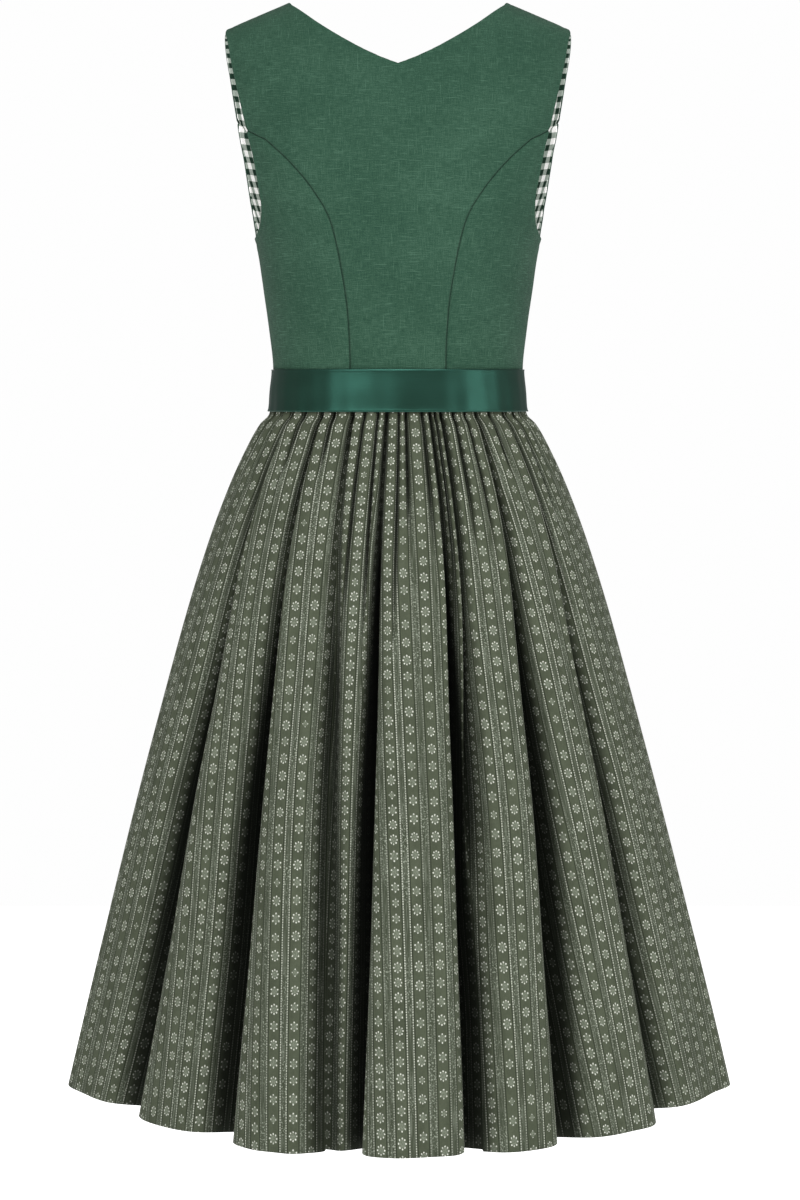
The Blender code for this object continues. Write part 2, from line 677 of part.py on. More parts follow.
def make_skirt(cotton):
    """Four widths, parted in the bottoms of the folds that hide their seams."""
    outer = skirt_points()
    inner = inner_points(outer)
    pleats = [fold["pleats"] for fold in FOLDS]
    starts = [COLUMNS_PER_PLEAT * sum(pleats[:fold]) for fold in SKIRT_SEAM_FOLDS]
    total = outer.shape[1]
    for number, name in enumerate(SKIRT_WIDTH_NAMES):
        first = starts[number]
        last = starts[(number + 1) % len(starts)]
        if last < first:
            last += total
        columns = np.arange(first, last + 1) % total
        width_outer = draw_in(outer[::-1][:, columns], SEAM_GAP / 2)
        width_inner = draw_in(inner[::-1][:, columns], SEAM_GAP / 2)
        make_wall(name, width_outer, width_inner, cotton)


# ---- Waist ribbon ---------------------------------------------------------------------------
def make_ribbon(satin):
    """A band round the waist, lying just outside the bodice above and the skirt below."""
    angle = np.linspace(-math.pi, math.pi, RIBBON_COLUMNS, endpoint=False)
    levels = []
    for height in RIBBON_HEIGHTS:
        table = SKIRT if height < WAIST_SEAM_Z else BODICE
        place = np.full(RIBBON_COLUMNS, place_of(table, height))
        x, y = section_point(table, angle, place)
        levels.append(np.stack([x, y, np.full(RIBBON_COLUMNS, height)], axis=-1))
    core = np.array(levels)
    along = np.roll(core, -1, axis=1) - np.roll(core, 1, axis=1)
    outward = unit(np.stack([along[..., 1], -along[..., 0], 0 * along[..., 0]], axis=-1))
    inner = core + SEAM_GAP * outward
    outer = core + (SEAM_GAP + RIBBON_WALL) * outward
    make_wall("waist_ribbon", outer, inner, satin, wrap=True)


for old in list(bpy.data.objects):
    bpy.data.objects.remove(old, do_unlink=True)

linen = make_material("green_linen", LINEN_GREEN, 0.85, sheen=0.2)
gingham = make_material("green_gingham", GINGHAM_GREEN, 0.80)
satin = make_material("green_satin", SATIN_GREEN, 0.32)
cotton = make_material("printed_cotton", COTTON_OLIVE, 0.88, sheen=0.1)

make_bodice(linen, gingham)
make_ribbon(satin)
make_skirt(cotton)
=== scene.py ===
import math
from functools import partialmethod

import bpy
import numpy as np
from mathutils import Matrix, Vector


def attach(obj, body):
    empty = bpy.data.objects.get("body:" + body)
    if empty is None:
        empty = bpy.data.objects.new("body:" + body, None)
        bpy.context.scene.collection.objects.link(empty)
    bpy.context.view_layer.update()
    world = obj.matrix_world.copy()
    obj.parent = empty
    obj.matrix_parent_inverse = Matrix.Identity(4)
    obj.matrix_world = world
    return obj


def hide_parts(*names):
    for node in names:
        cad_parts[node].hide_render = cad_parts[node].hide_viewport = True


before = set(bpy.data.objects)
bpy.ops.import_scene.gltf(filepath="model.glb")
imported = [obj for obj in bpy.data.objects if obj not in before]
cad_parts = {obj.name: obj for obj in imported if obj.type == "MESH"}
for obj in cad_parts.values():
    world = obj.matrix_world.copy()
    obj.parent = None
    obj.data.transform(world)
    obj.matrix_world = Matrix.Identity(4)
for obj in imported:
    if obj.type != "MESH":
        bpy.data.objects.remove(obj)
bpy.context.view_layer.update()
scene = bpy.context.scene
print("frame loaded")

# sections of the bodice and skirt, in metres: back, front and side are places on y, and roundBack
# and roundFront are the powers of the superellipse. All tables are read as smooth curves
sectionColumns = ("level", "halfWidth", "back", "front", "side", "roundBack", "roundFront")
bodiceRows = (
    (-0.385, 0.1308, -0.0905, 0.1, 0.004, 2.2, 2.2),
    (-0.36, 0.1288, -0.088, 0.099, 0.004, 2.2, 2.2),
    (-0.325, 0.1325, -0.09, 0.105, 0.004, 2.25, 2.25),
    (-0.283, 0.1385, -0.097, 0.123, 0.006, 2.3, 2.3),
    (-0.238, 0.1455, -0.104, 0.137, 0.008, 2.35, 2.35),
    (-0.19, 0.159, -0.107, 0.131, 0.009, 2.4, 2.4),
    (-0.135, 0.174, -0.105, 0.106, 0.006, 2.4, 2.4),
    (-0.085, 0.183, -0.094, 0.084, 0.0, 2.4, 2.4),
    (-0.045, 0.1865, -0.076, 0.062, -0.005, 2.4, 2.4),
    (-0.016, 0.187, -0.052, 0.036, -0.009, 2.4, 2.4),
    (-0.004, 0.187, -0.031, 0.012, -0.01, 2.4, 2.4),
    (0.0, 0.187, -0.01, -0.01, -0.01, 2.4, 2.4),
)
skirtRows = (
    (-0.3853, 0.1308, -0.0905, 0.1, 0.004, 2.2, 2.2),
    (-0.408, 0.1334, -0.093, 0.103, 0.004, 2.2, 2.2),
    (-0.42, 0.1445, -0.101, 0.111, 0.004, 2.16, 2.2),
    (-0.445, 0.1585, -0.114, 0.123, 0.003, 2.1, 2.15),
    (-0.485, 0.177, -0.1335, 0.141, 0.003, 2.02, 2.1),
    (-0.55, 0.2015, -0.162, 0.167, 0.002, 1.92, 2.06),
    (-0.645, 0.232, -0.198, 0.198, 0.002, 1.8, 2.02),
    (-0.785, 0.268, -0.246, 0.239, 0.006, 1.7, 2.0),
    (-0.94, 0.306, -0.29, 0.276, 0.016, 1.59, 1.96),
    (-1.1, 0.343, -0.334, 0.312, 0.028, 1.53, 1.94),
)
# armhole from the back shoulder under the arm to the front: level and degrees from the centre back
armholeRows = (
    (0.0, 71.0), (-0.018, 67.0), (-0.045, 63.8), (-0.085, 59.8),
    (-0.125, 57.6), (-0.165, 57.4), (-0.205, 62.0), (-0.224, 74.0),
    (-0.228, 90.0), (-0.222, 98.0), (-0.188, 105.5), (-0.15, 111.0),
    (-0.105, 112.5), (-0.062, 111.8), (-0.02, 108.5), (0.0, 109.0),
)
# seams and necks of the right half: distance out from the middle, and height
backPrincessRows = (
    (0.048, -0.385), (0.05, -0.32), (0.056, -0.27), (0.068, -0.216),
    (0.086, -0.1835), (0.109, -0.1555), (0.135, -0.131),
)
frontPrincessRows = (
    (0.054, -0.385), (0.057, -0.34), (0.066, -0.29), (0.08, -0.245),
    (0.098, -0.205), (0.118, -0.168), (0.14, -0.135),
)
backNeckRows = (
    (0.0, -0.0555), (0.02, -0.0475), (0.04, -0.0375),
    (0.061, -0.025), (0.0815, -0.0112), (0.0985, 0.002),
    (0.1035, 0.0058), (0.1085, 0.0095),
)
frontNeckRows = (
    (0.0, -0.162), (0.024, -0.133), (0.048, -0.1),
    (0.07, -0.065), (0.089, -0.031), (0.102, -0.007),
    (0.108, 0.0038),
)


def namedColumns(names, rows):
    return {name: np.array(values) for name, values in zip(names, zip(*rows))}


def namedRows(names, rows):
    return [dict(zip(names, row)) for row in rows]


bodiceTable = namedColumns(sectionColumns, bodiceRows)
skirtTable = namedColumns(sectionColumns, skirtRows)
armholeTable = namedColumns(("level", "degrees"), armholeRows)


# value at a fractional row number: a cubic through neighbouring rows with shared slopes
def readColumn(table, name, rows):
    values = table[name]
    slopes = np.gradient(values)
    if table is bodiceTable and name == "level":
        slopes[-1] = 0.0  # the shoulder's ridge is level
    base = np.clip(np.floor(rows).astype(int), 0, len(values) - 2)
    part = rows - base
    step = values[base + 1] - values[base]
    start = slopes[base]
    end = slopes[base + 1]
    bend = 3 * step - 2 * start - end
    twist = start + end - 2 * step
    return values[base] + part * (start + part * (bend + part * twist))


# the row number at which the table's section has the given level
def rowOf(table, level):
    samples = np.linspace(0.0, len(table["level"]) - 1.0, 1200)
    levels = readColumn(table, "level", samples)
    if levels[-1] < levels[0]:
        return np.interp(-np.asarray(level), -levels, samples)
    return np.interp(level, levels, samples)


def signedPower(value, power):
    return np.sign(value) * np.abs(value) ** power


def unit(vectors):
    return vectors / np.maximum(np.linalg.norm(vectors, axis=-1, keepdims=True), 1e-12)


def softStep(value, low, high):
    part = np.clip((value - low) / (high - low), 0.0, 1.0)
    return part * part * (3.0 - 2.0 * part)


# 1 at no distance, falling as exp(-(distance / width)^power)
def bell(distance, width, power=2):
    return np.exp(-(distance / width) ** power)


# an even, repeatable number from 0 to 1 for each whole number
def scatter(number, seed=0.0):
    return np.modf(np.abs(np.sin(np.asarray(number) * 12.9898 + seed * 78.233) * 43758.5453))[0]


# lengths from the first column along each row, and from the first row up each column
def runLengths(points):
    runs = []
    for axis in (1, 0):
        steps = np.linalg.norm(np.diff(points, axis=axis), axis=-1)
        start = np.zeros_like(steps.take([0], axis=axis))
        runs.append(np.concatenate([start, np.cumsum(steps, axis=axis)], axis=axis))
    return runs


def addObject(name, data):
    holder = bpy.data.objects.new(name, data)
    scene.collection.objects.link(holder)
    return holder


# quads of a grid whose rows go up and whose columns turn to the right; uvLeft and uvRight are
# the cloth's own coordinates at the left and right side of each column of quads, in metres
def sheetMesh(name, points, uvLeft, uvRight, material, wrap=False):
    rows, columns = points.shape[:2]
    index = np.arange(rows * columns).reshape(rows, columns)
    if wrap:
        index = np.concatenate([index, index[:, :1]], axis=1)
    corners = (index[:-1, :-1], index[:-1, 1:], index[1:, 1:], index[1:, :-1])
    quads = np.stack(corners, axis=-1).reshape(-1, 4)
    mesh = bpy.data.meshes.new(name)
    mesh.vertices.add(rows * columns)
    mesh.vertices.foreach_set("co", points.reshape(-1))
    mesh.loops.add(quads.size)
    mesh.loops.foreach_set("vertex_index", quads.reshape(-1))
    mesh.polygons.add(len(quads))
    mesh.polygons.foreach_set("loop_start", np.arange(0, quads.size, 4))
    mesh.update(calc_edges=True)
    layer = mesh.uv_layers.new(name="cloth")
    uv = np.stack([uvLeft[:-1], uvRight[:-1], uvRight[1:], uvLeft[1:]], axis=2)
    layer.data.foreach_set("uv", uv.reshape(-1))
    mesh.materials.append(material)
    mesh.shade_smooth()
    mesh.validate()
    return addObject(name, mesh)


def giveWall(piece, thickness):
    wall = piece.modifiers.new("wall", "SOLIDIFY")
    wall.thickness = thickness
    wall.offset = -1.0
    wall.use_even_offset = False
    wall.use_rim = True


# a value for every point, for the shaders to read
def pointValue(piece, name, values):
    layer = piece.data.attributes.new(name, "FLOAT", "POINT")
    layer.data.foreach_set("value", np.asarray(values, dtype=np.float32).reshape(-1))


bodiceValues = {
    "slope": 0.433,  # fall of the shoulder seam for each metre outwards
    "slopeMiddle": 0.147,  # distance out at which the shoulder seam is at level zero
    "slopeFade": 0.130,  # depth at which the slope of the shoulders has died out
    "neckRounding": 0.030,
    "neckHalfWidth": 0.113,
    "underarmRow": 8,  # rows of armholeRows where the side, back and front seams end
    "backSeamRow": 3.9,
    "frontSeamRow": 12.0,
    "topShapeFade": 3.2,  # how soon the rows of a panel lose the shape of its top edge
    "tipRounding": 2.4,  # degrees by which the armhole turns in at the shoulder's tip
    "tipDepth": 0.0035,
}
edgePoints = 120
shoulderRow = len(bodiceRows) - 1.0
profileRows = np.linspace(0.0, shoulderRow, 600)
profileLengths = np.concatenate([[0.0], np.cumsum(np.hypot(
    np.diff(readColumn(bodiceTable, "level", profileRows)),
    np.diff(readColumn(bodiceTable, "back", profileRows))))])


# rise: slope times (middle minus the rounded distance out), fading as a square with depth
def shoulderRise(out, level):
    strength = np.clip(1.0 + level / bodiceValues["slopeFade"], 0.0, None) ** 2
    distance = np.sqrt(out ** 2 + bodiceValues["neckRounding"] ** 2)
    return bodiceValues["slope"] * (bodiceValues["slopeMiddle"] - distance) * strength


def sectionSizes(table, angle, row):
    halfWidth, back, front, side, roundBack, roundFront = (
        readColumn(table, name, row) for name in sectionColumns[1:])
    depth = np.where(np.cos(angle) > 0.0, side - back, front - side)
    power = np.where(np.cos(angle) > 0.0, roundBack, roundFront)
    return halfWidth, depth, side, power


# superellipse: x = half width * sin^(2/n), y = side - depth * cos^(2/n)
def sectionPoint(table, angle, row):
    halfWidth, depth, side, power = sectionSizes(table, angle, row)
    return (halfWidth * signedPower(np.sin(angle), 2.0 / power),
            side - depth * signedPower(np.cos(angle), 2.0 / power))


# the section at a row of the table, raised by the shoulders
def bodicePoint(angle, row):
    x, y = sectionPoint(bodiceTable, angle, row)
    level = readColumn(bodiceTable, "level", row)
    return np.stack([x, y, level + shoulderRise(x, level)], axis=-1)


def bodiceNormal(angle, row):
    small = 0.002
    middle = np.clip(row, small, shoulderRow - small)
    along = bodicePoint(angle + small, middle) - bodicePoint(angle - small, middle)
    upward = bodicePoint(angle, middle + small) - bodicePoint(angle, middle - small)
    return unit(np.cross(along, upward))


# direction and row of the surface at a distance out and a height, found by repeated steps
def bodicePlace(out, height, inFront):
    level = np.array(height, dtype=float)
    for _ in range(40):
        level = height - shoulderRise(out, level)
    row = rowOf(bodiceTable, level)
    halfWidth = readColumn(bodiceTable, "halfWidth", row)
    power = readColumn(bodiceTable, "roundBack", row)
    angle = np.arcsin(np.clip(out / halfWidth, 0.0, 1.0) ** (power / 2.0))
    return np.stack([math.pi - angle if inFront else angle, row], axis=-1)


# length along an edge, which is a list of (direction, row) pairs, up to each of them
def edgeRun(edge):
    steps = np.diff(bodicePoint(edge[:, 0], edge[:, 1]), axis=0)
    return np.concatenate([[0.0], np.cumsum(np.linalg.norm(steps, axis=1))])


# points at the given shares of an edge's length
def spreadEdge(edge, shares):
    run = edgeRun(edge)
    return np.stack([np.interp(shares * run[-1], run, column) for column in edge.T], axis=-1)


def straightEdge(first, last):
    return np.linspace(first, last, edgePoints)


# the armhole runs along its table, and turns in a little to round off the shoulder's tip
def armholeEdge(first, last):
    rows = np.linspace(first, last, edgePoints)
    degrees = readColumn(armholeTable, "degrees", rows)
    level = readColumn(armholeTable, "level", rows)
    rounding = bodiceValues["tipRounding"] * bell(level, bodiceValues["tipDepth"])
    angle = np.radians(degrees + np.where(degrees < 90.0, -rounding, rounding))
    return np.stack([angle, rowOf(bodiceTable, level)], axis=-1)


def drawnEdge(tableRows, inFront):
    table = namedColumns(("out", "height"), tableRows)
    rows = np.linspace(0.0, len(tableRows) - 1.0, edgePoints)
    return bodicePlace(readColumn(table, "out", rows), readColumn(table, "height", rows), inFront)


# the curved seam runs from the waist up to where it meets the armhole
def princessEdge(inFront):
    meetingRow = bodiceValues["frontSeamRow" if inFront else "backSeamRow"]
    edge = drawnEdge(frontPrincessRows if inFront else backPrincessRows, inFront)
    return np.concatenate([edge, armholeEdge(meetingRow, meetingRow)[:1]])


def neckEdge(inFront):
    power = bodiceTable["roundBack"][-1]
    angle = math.asin((bodiceValues["neckHalfWidth"] / bodiceTable["halfWidth"][-1]) ** (power / 2.0))
    neckPoint = np.array([[math.pi - angle if inFront else angle, shoulderRow]])
    return np.concatenate([drawnEdge(frontNeckRows if inFront else backNeckRows, inFront), neckPoint])


# shares of a length: even steps, with points crowded at 0, 0.3, 0.8, 1.6 and 3 mm from its ends
def crowdedShares(edge, step, atStart=True, atEnd=True):
    length = edgeRun(edge)[-1]
    near = np.array([0.0, 0.0003, 0.0008, 0.0016, 0.0030])
    first = near if atStart else near[:1]
    last = near if atEnd else near[:1]
    count = max(2, round((length - first[-1] - last[-1]) / step))
    middle = np.linspace(first[-1], length - last[-1], count + 1)
    return np.concatenate([first[:-1], middle, (length - last)[::-1][1:]]) / length


# two edges end to end with crowded points, how many are in the first, and their shares of the whole
def joinedEdge(first, second, step):
    firstShares = crowdedShares(first, step, False, False)
    secondShares = crowdedShares(second, step, False, True)
    edge = np.concatenate([spreadEdge(first, firstShares), spreadEdge(second, secondShares)[1:]])
    firstLength = edgeRun(first)[-1]
    secondLength = edgeRun(second)[-1]
    shares = np.concatenate([firstShares * firstLength, firstLength + secondShares[1:] * secondLength])
    return edge, len(firstShares), shares / (firstLength + secondLength)


# blend of four edges into (direction, row) pairs; the rows blend as lengths up the centre back
def fillPatch(bottom, top, left, right, acrossShares):
    def measured(edge):
        return np.stack([edge[:, 0], np.interp(edge[:, 1], profileRows, profileLengths)], axis=-1)
    bottom, top, left, right = (measured(edge) for edge in (bottom, top, left, right))
    across = acrossShares[None, :, None]
    upward = ((left[:, 1] - left[0, 1]) / (left[-1, 1] - left[0, 1]))[:, None, None]
    sides = (1 - across) * left[:, None] + across * right[:, None]
    bottomShape = bottom - (bottom[0] + across[0] * (bottom[-1] - bottom[0]))
    topShape = top - (top[0] + across[0] * (top[-1] - top[0]))
    grid = sides + (1 - upward) * bottomShape[None] + upward ** bodiceValues["topShapeFade"] * topShape[None]
    return np.stack([grid[..., 0], np.interp(grid[..., 1], profileLengths, profileRows)], axis=-1)


def mirroredPanel(panel):
    grid = panel["grid"][:, ::-1] * (-1.0, 1.0)
    return {"grid": grid, "leftSeam": panel["rightSeam"], "rightSeam": panel["leftSeam"],
            "topSeam": panel["topSeam"][::-1]}


# the centre back in one piece, from armhole to armhole
def backPanel(step):
    armhole = armholeEdge(bodiceValues["backSeamRow"], 0.0)
    right, seamCount, _ = joinedEdge(princessEdge(False), armhole, step)
    neck = neckEdge(False)
    half, neckCount, shares = joinedEdge(neck, straightEdge(neck[-1], right[-1]), step)
    flip = np.array([-1.0, 1.0])
    top = np.concatenate([half[:0:-1] * flip, half])
    across = np.concatenate([-shares[:0:-1], shares]) * 0.5 + 0.5
    bottom = spreadEdge(straightEdge(right[0] * flip, right[0]), across)
    topSeam = np.abs(np.arange(len(across)) - (len(across) - 1) // 2) >= neckCount
    sideSeam = np.arange(len(right)) < seamCount
    return {"grid": fillPatch(bottom, top, right * flip, right, across),
            "leftSeam": sideSeam, "rightSeam": sideSeam, "topSeam": topSeam}


# the right half of the centre front, from the curved seam to the closed front edge
def frontCentrePanel(step):
    armhole = armholeEdge(bodiceValues["frontSeamRow"], len(armholeRows) - 1.0)
    left, seamCount, _ = joinedEdge(princessEdge(True), armhole, step)
    neck = neckEdge(True)
    closing = straightEdge((math.pi, 0.0), (math.pi, neck[0, 1]))
    neckSteps = len(left) - seamCount - 4  # as many points as the armhole, four of them crowded
    neckShares = crowdedShares(neck, edgeRun(neck)[-1] / neckSteps, False, True)
    closingShares = np.linspace(0.0, 1.0, seamCount)
    right = np.concatenate([spreadEdge(closing, closingShares), spreadEdge(neck, neckShares)[1:]])
    waist = straightEdge(left[0], right[0])
    across = crowdedShares(waist, step)
    shoulder = spreadEdge(straightEdge(left[-1], right[-1]), across)
    frontSeam = np.arange(len(left)) < seamCount
    return {"grid": fillPatch(spreadEdge(waist, across), shoulder, left, right, across),
            "leftSeam": frontSeam, "rightSeam": frontSeam, "topSeam": np.full(len(across), True)}


# the right side back or side front, between the curved seam and the side seam
def sidePanel(step, inFront):
    underarmRow = bodiceValues["underarmRow"]
    underarm = armholeEdge(underarmRow, underarmRow)[0]
    sides = [princessEdge(inFront), straightEdge((underarm[0], 0.0), underarm)]
    if inFront:
        top = armholeEdge(underarmRow, bodiceValues["frontSeamRow"])
        sides.reverse()
    else:
        top = armholeEdge(bodiceValues["backSeamRow"], underarmRow)
    upward = crowdedShares(max(sides, key=lambda side: edgeRun(side)[-1]), step, False, True)
    across = crowdedShares(top, step)
    left, right = (spreadEdge(side, upward) for side in sides)
    bottom = spreadEdge(straightEdge(left[0], right[0]), across)
    sewn = np.full(len(upward), True)
    return {"grid": fillPatch(bottom, spreadEdge(top, across), left, right, across),
            "leftSeam": sewn, "rightSeam": sewn, "topSeam": np.full(len(across), False)}


def panelShapes(step):
    backSide = sidePanel(step, False)
    frontSide = sidePanel(step, True)
    frontCentre = frontCentrePanel(step)
    return {
        "back_panel": backPanel(step),
        "back_side_right": backSide,
        "back_side_left": mirroredPanel(backSide),
        "front_side_right": frontSide,
        "front_side_left": mirroredPanel(frontSide),
        "front_centre_right": frontCentre,
        "front_centre_left": mirroredPanel(frontCentre),
    }


linenValues = {
    "step": 0.0032,  # spacing of the grid
    "wall": 0.0013,
    "depth": 0.0,  # how far it lies inside the bodice's surface
    "inset": 0.0,  # how far its edges stand back
    "seamDepth": 0.0012,  # narrow groove where two panels meet
    "seamWidth": 0.0011,
    "seamShadeWidth": 0.0006,  # half width of the painted shade line at the groove's bottom
    "seamHollow": 0.0005,  # broad dip beside it
    "seamHollowWidth": 0.0055,
    "edgeRadius": 0.0009,  # turned edges of neck and armholes
    "edgeHollow": 0.0004,  # slight dip inside a turned edge, where the layers end
    "edgeHollowAt": 0.0065,
    "edgeHollowWidth": 0.0022,
    "pucker": 0.00016,  # small ripples along the seams
    "puckerLength": 0.011,
    "puckerDrift": 0.019,
    "puckerReach": 0.004,
}
liningValues = {
    "step": 0.0052,
    "wall": 0.0008,
    "depth": 0.0019,
    "inset": 0.0007,
    "seamDepth": 0.0022,
    "seamWidth": 0.0045,
}

# soft creases of the bodice, mirrored on the other side: degrees from the centre back, height,
# turn of the crease from level in degrees, its length, width and depth
creaseColumns = ("degrees", "height", "turn", "length", "width", "depth")
creaseRows = (
    (52.0, -0.15, 38.0, 0.04, 0.009, 0.0008),
    (60.0, -0.19, 24.0, 0.034, 0.01, 0.0008),
    (50.0, -0.235, 8.0, 0.04, 0.011, 0.0006),
    (64.0, -0.285, -6.0, 0.044, 0.01, 0.0008),
    (52.0, -0.322, -10.0, 0.05, 0.009, 0.0009),
    (30.0, -0.346, 6.0, 0.04, 0.008, 0.0006),
    (12.0, -0.3, 4.0, 0.05, 0.013, 0.0005),
    (22.0, -0.12, -22.0, 0.06, 0.016, 0.0005),
    (118.0, -0.15, -36.0, 0.036, 0.01, 0.0008),
    (112.0, -0.205, -20.0, 0.036, 0.01, 0.0008),
    (126.0, -0.325, 10.0, 0.046, 0.01, 0.0009),
    (150.0, -0.345, -6.0, 0.042, 0.009, 0.0006),
)
creaseValues = {
    "metresPerDegree": 0.0026,
    "sideShift": 0.006,  # how far a crease is moved up on one side and down on the other
    "otherSide": 0.8,  # how deep it is on the other side
    "bend": 6.0,
}


# creases: each a long bell of the given depth, turned by its angle in (around, up) metres
def bodiceCreases(angle, height):
    values = creaseValues
    drop = np.zeros(angle.shape)
    for crease in namedRows(creaseColumns, creaseRows):
        turn = math.radians(crease["turn"])
        for side in (1.0, -1.0):
            around = (np.degrees(angle) * side - crease["degrees"]) * values["metresPerDegree"]
            upward = height - crease["height"] - values["sideShift"] * side
            lengthwise = around * math.cos(turn) + upward * math.sin(turn)
            crosswise = upward * math.cos(turn) - around * math.sin(turn)
            crosswise = crosswise + values["bend"] * lengthwise ** 2 * side
            depth = crease["depth"] * (1.0 if side > 0.0 else values["otherSide"])
            drop += depth * bell(lengthwise, crease["length"]) * bell(crosswise, crease["width"])
    return drop


# for each border of a panel: the distance from it, where it is sewn, and the run along it
def panelBorders(points, panel):
    across, upward = runLengths(points)
    return ((across, panel["leftSeam"][:, None], upward),
            (across[:, -1:] - across, panel["rightSeam"][:, None], upward),
            (upward[-1:] - upward, panel["topSeam"][None, :], across))


# seam: a narrow groove in a broad dip, with ripples of a sine that drifts
def seamShape(distance, along):
    values = linenValues
    groove = values["seamDepth"] * bell(distance, values["seamWidth"])
    hollow = values["seamHollow"] * bell(distance, values["seamHollowWidth"])
    drift = 2.0 * np.sin(along / values["puckerDrift"])
    ripple = np.sin(2 * math.pi * along / values["puckerLength"] + drift)
    return groove + hollow + values["pucker"] * ripple * bell(distance, values["puckerReach"])


# turned edge: a quarter circle at the border, and a shallow dip further in
def edgeShape(distance):
    values = linenValues
    radius = values["edgeRadius"]
    inside = np.clip(radius - distance, 0.0, radius)
    hollow = values["edgeHollow"] * bell(distance - values["edgeHollowAt"], values["edgeHollowWidth"])
    return radius - np.sqrt(radius ** 2 - inside ** 2) + hollow


# level run round the bodice from the centre back, as a sum of short chords
def roundLength(angle, row):
    angles = angle[..., None] * np.linspace(0.0, 1.0, 25)
    rows = np.broadcast_to(row[..., None], angles.shape)
    chords = np.diff(bodicePoint(angles, rows)[..., :2], axis=-2)
    return np.sign(angle) * np.linalg.norm(chords, axis=-1).sum(axis=-1)


# the cloth's own coordinates: level run from the panel's middle direction, and length up the back
def panelCloth(points, grid):
    middle = np.full(grid.shape[:2], grid[..., 0].mean())
    across = roundLength(grid[..., 0], grid[..., 1]) - roundLength(middle, grid[..., 1])
    rise = points[..., 2] - readColumn(bodiceTable, "level", grid[..., 1])
    upward = np.interp(grid[..., 1], profileRows, profileLengths) + rise
    return np.stack([across, upward], axis=-1)


# the bodice's surface lowered along its normal by creases, seams and turned edges, its borders drawn
# in by inset. The lining is flat at its open edges; the linen keeps a value for the painted shade of its
# seam lines
def panelPiece(name, panel, values, material):
    isLinen = values is linenValues
    angle, row = panel["grid"][..., 0], panel["grid"][..., 1]
    points = bodicePoint(angle, row)
    drop = values["depth"] + bodiceCreases(angle, points[..., 2])
    line = np.zeros(drop.shape)
    for distance, sewn, along in panelBorders(points, panel):
        if isLinen:
            drop = drop + np.where(sewn, seamShape(distance, along), edgeShape(distance))
            # painted shade: a dark line along each seam, where the groove lies
            line = np.maximum(line, np.where(sewn, bell(distance, values["seamShadeWidth"]), 0.0))
        else:
            drop = drop + np.where(sewn, values["seamDepth"] * bell(distance, values["seamWidth"]), 0.0)
    shape = points - drop[..., None] * bodiceNormal(angle, row)
    shape[:, 0] += values["inset"] * unit(shape[:, 1] - shape[:, 0])
    shape[:, -1] += values["inset"] * unit(shape[:, -2] - shape[:, -1])
    shape[-1] += values["inset"] * unit(shape[-2] - shape[-1])
    cloth = panelCloth(points, panel["grid"])
    piece = sheetMesh(name, shape, cloth[:, :-1], cloth[:, 1:], material)
    if isLinen:
        pointValue(piece, "seam", line)
    giveWall(piece, values["wall"])
    return piece


# folds: waist and hem are degrees from the centre back; slope is how many times wider than its
# steep side the other side is; depth, width, lean (how far the bottom slides sideways) and drop
# (how much lower the cloth after it hangs) are in metres; ends is the share of the skirt's length
# at which the fold is gone; pleats is how many follow it, and shade how strongly painted shade darkens its
# bottom
foldColumns = ("waist", "hem", "depth", "width", "slope", "ends", "pleats", "lean", "drop", "shade")
foldRows = (
    (-172.0, -172.0, 0.046, 0.013, 1.3, 2.0, 3, 0.003, 0.0, 0.85),
    (-150.0, -151.0, 0.042, 0.014, 1.2, 2.0, 3, 0.005, 0.001, 0.8),
    (-131.0, -132.0, 0.05, 0.0165, 1.4, 2.0, 3, 0.006, -0.002, 0.9),
    (-114.0, -115.0, 0.04, 0.0155, 1.2, 2.0, 3, 0.006, 0.0, 0.8),
    (-95.0, -95.0, 0.044, 0.0165, 1.3, 2.0, 5, 0.001, 0.002, 0.85),
    (-61.0, -59.7, 0.062, 0.0205, 1.2, 2.0, 2, -0.012, 0.001, 1.0),
    (-44.3, -33.0, 0.062, 0.016, 1.2, 2.0, 2, -0.01, 0.003, 1.0),
    (-27.2, -14.7, 0.034, 0.0115, 2.3, 2.0, 3, 0.002, 0.0, 0.78),
    (-6.6, -7.5, 0.062, 0.0092, 1.3, 2.0, 4, -0.002, -0.002, 1.0),
    (19.4, 12.9, 0.062, 0.0128, 1.2, 2.0, 2, 0.003, 0.001, 1.0),
    (26.0, 15.6, 0.034, 0.0088, 1.0, 0.85, 3, 0.001, 0.003, 0.9),
    (45.4, 31.6, 0.062, 0.0155, 1.3, 2.0, 2, 0.01, 0.005, 0.95),
    (61.0, 57.7, 0.056, 0.0145, 1.2, 2.0, 5, 0.008, 0.001, 0.88),
    (95.0, 95.0, 0.044, 0.0165, 1.3, 2.0, 2, -0.001, 0.001, 0.85),
    (112.0, 113.0, 0.04, 0.0155, 1.2, 2.0, 3, -0.006, -0.001, 0.8),
    (133.0, 133.0, 0.05, 0.0165, 1.4, 2.0, 3, -0.006, 0.0, 0.9),
    (156.0, 157.0, 0.044, 0.014, 1.2, 2.0, 4, -0.005, 0.001, 0.8),
)
folds = namedRows(foldColumns, foldRows)

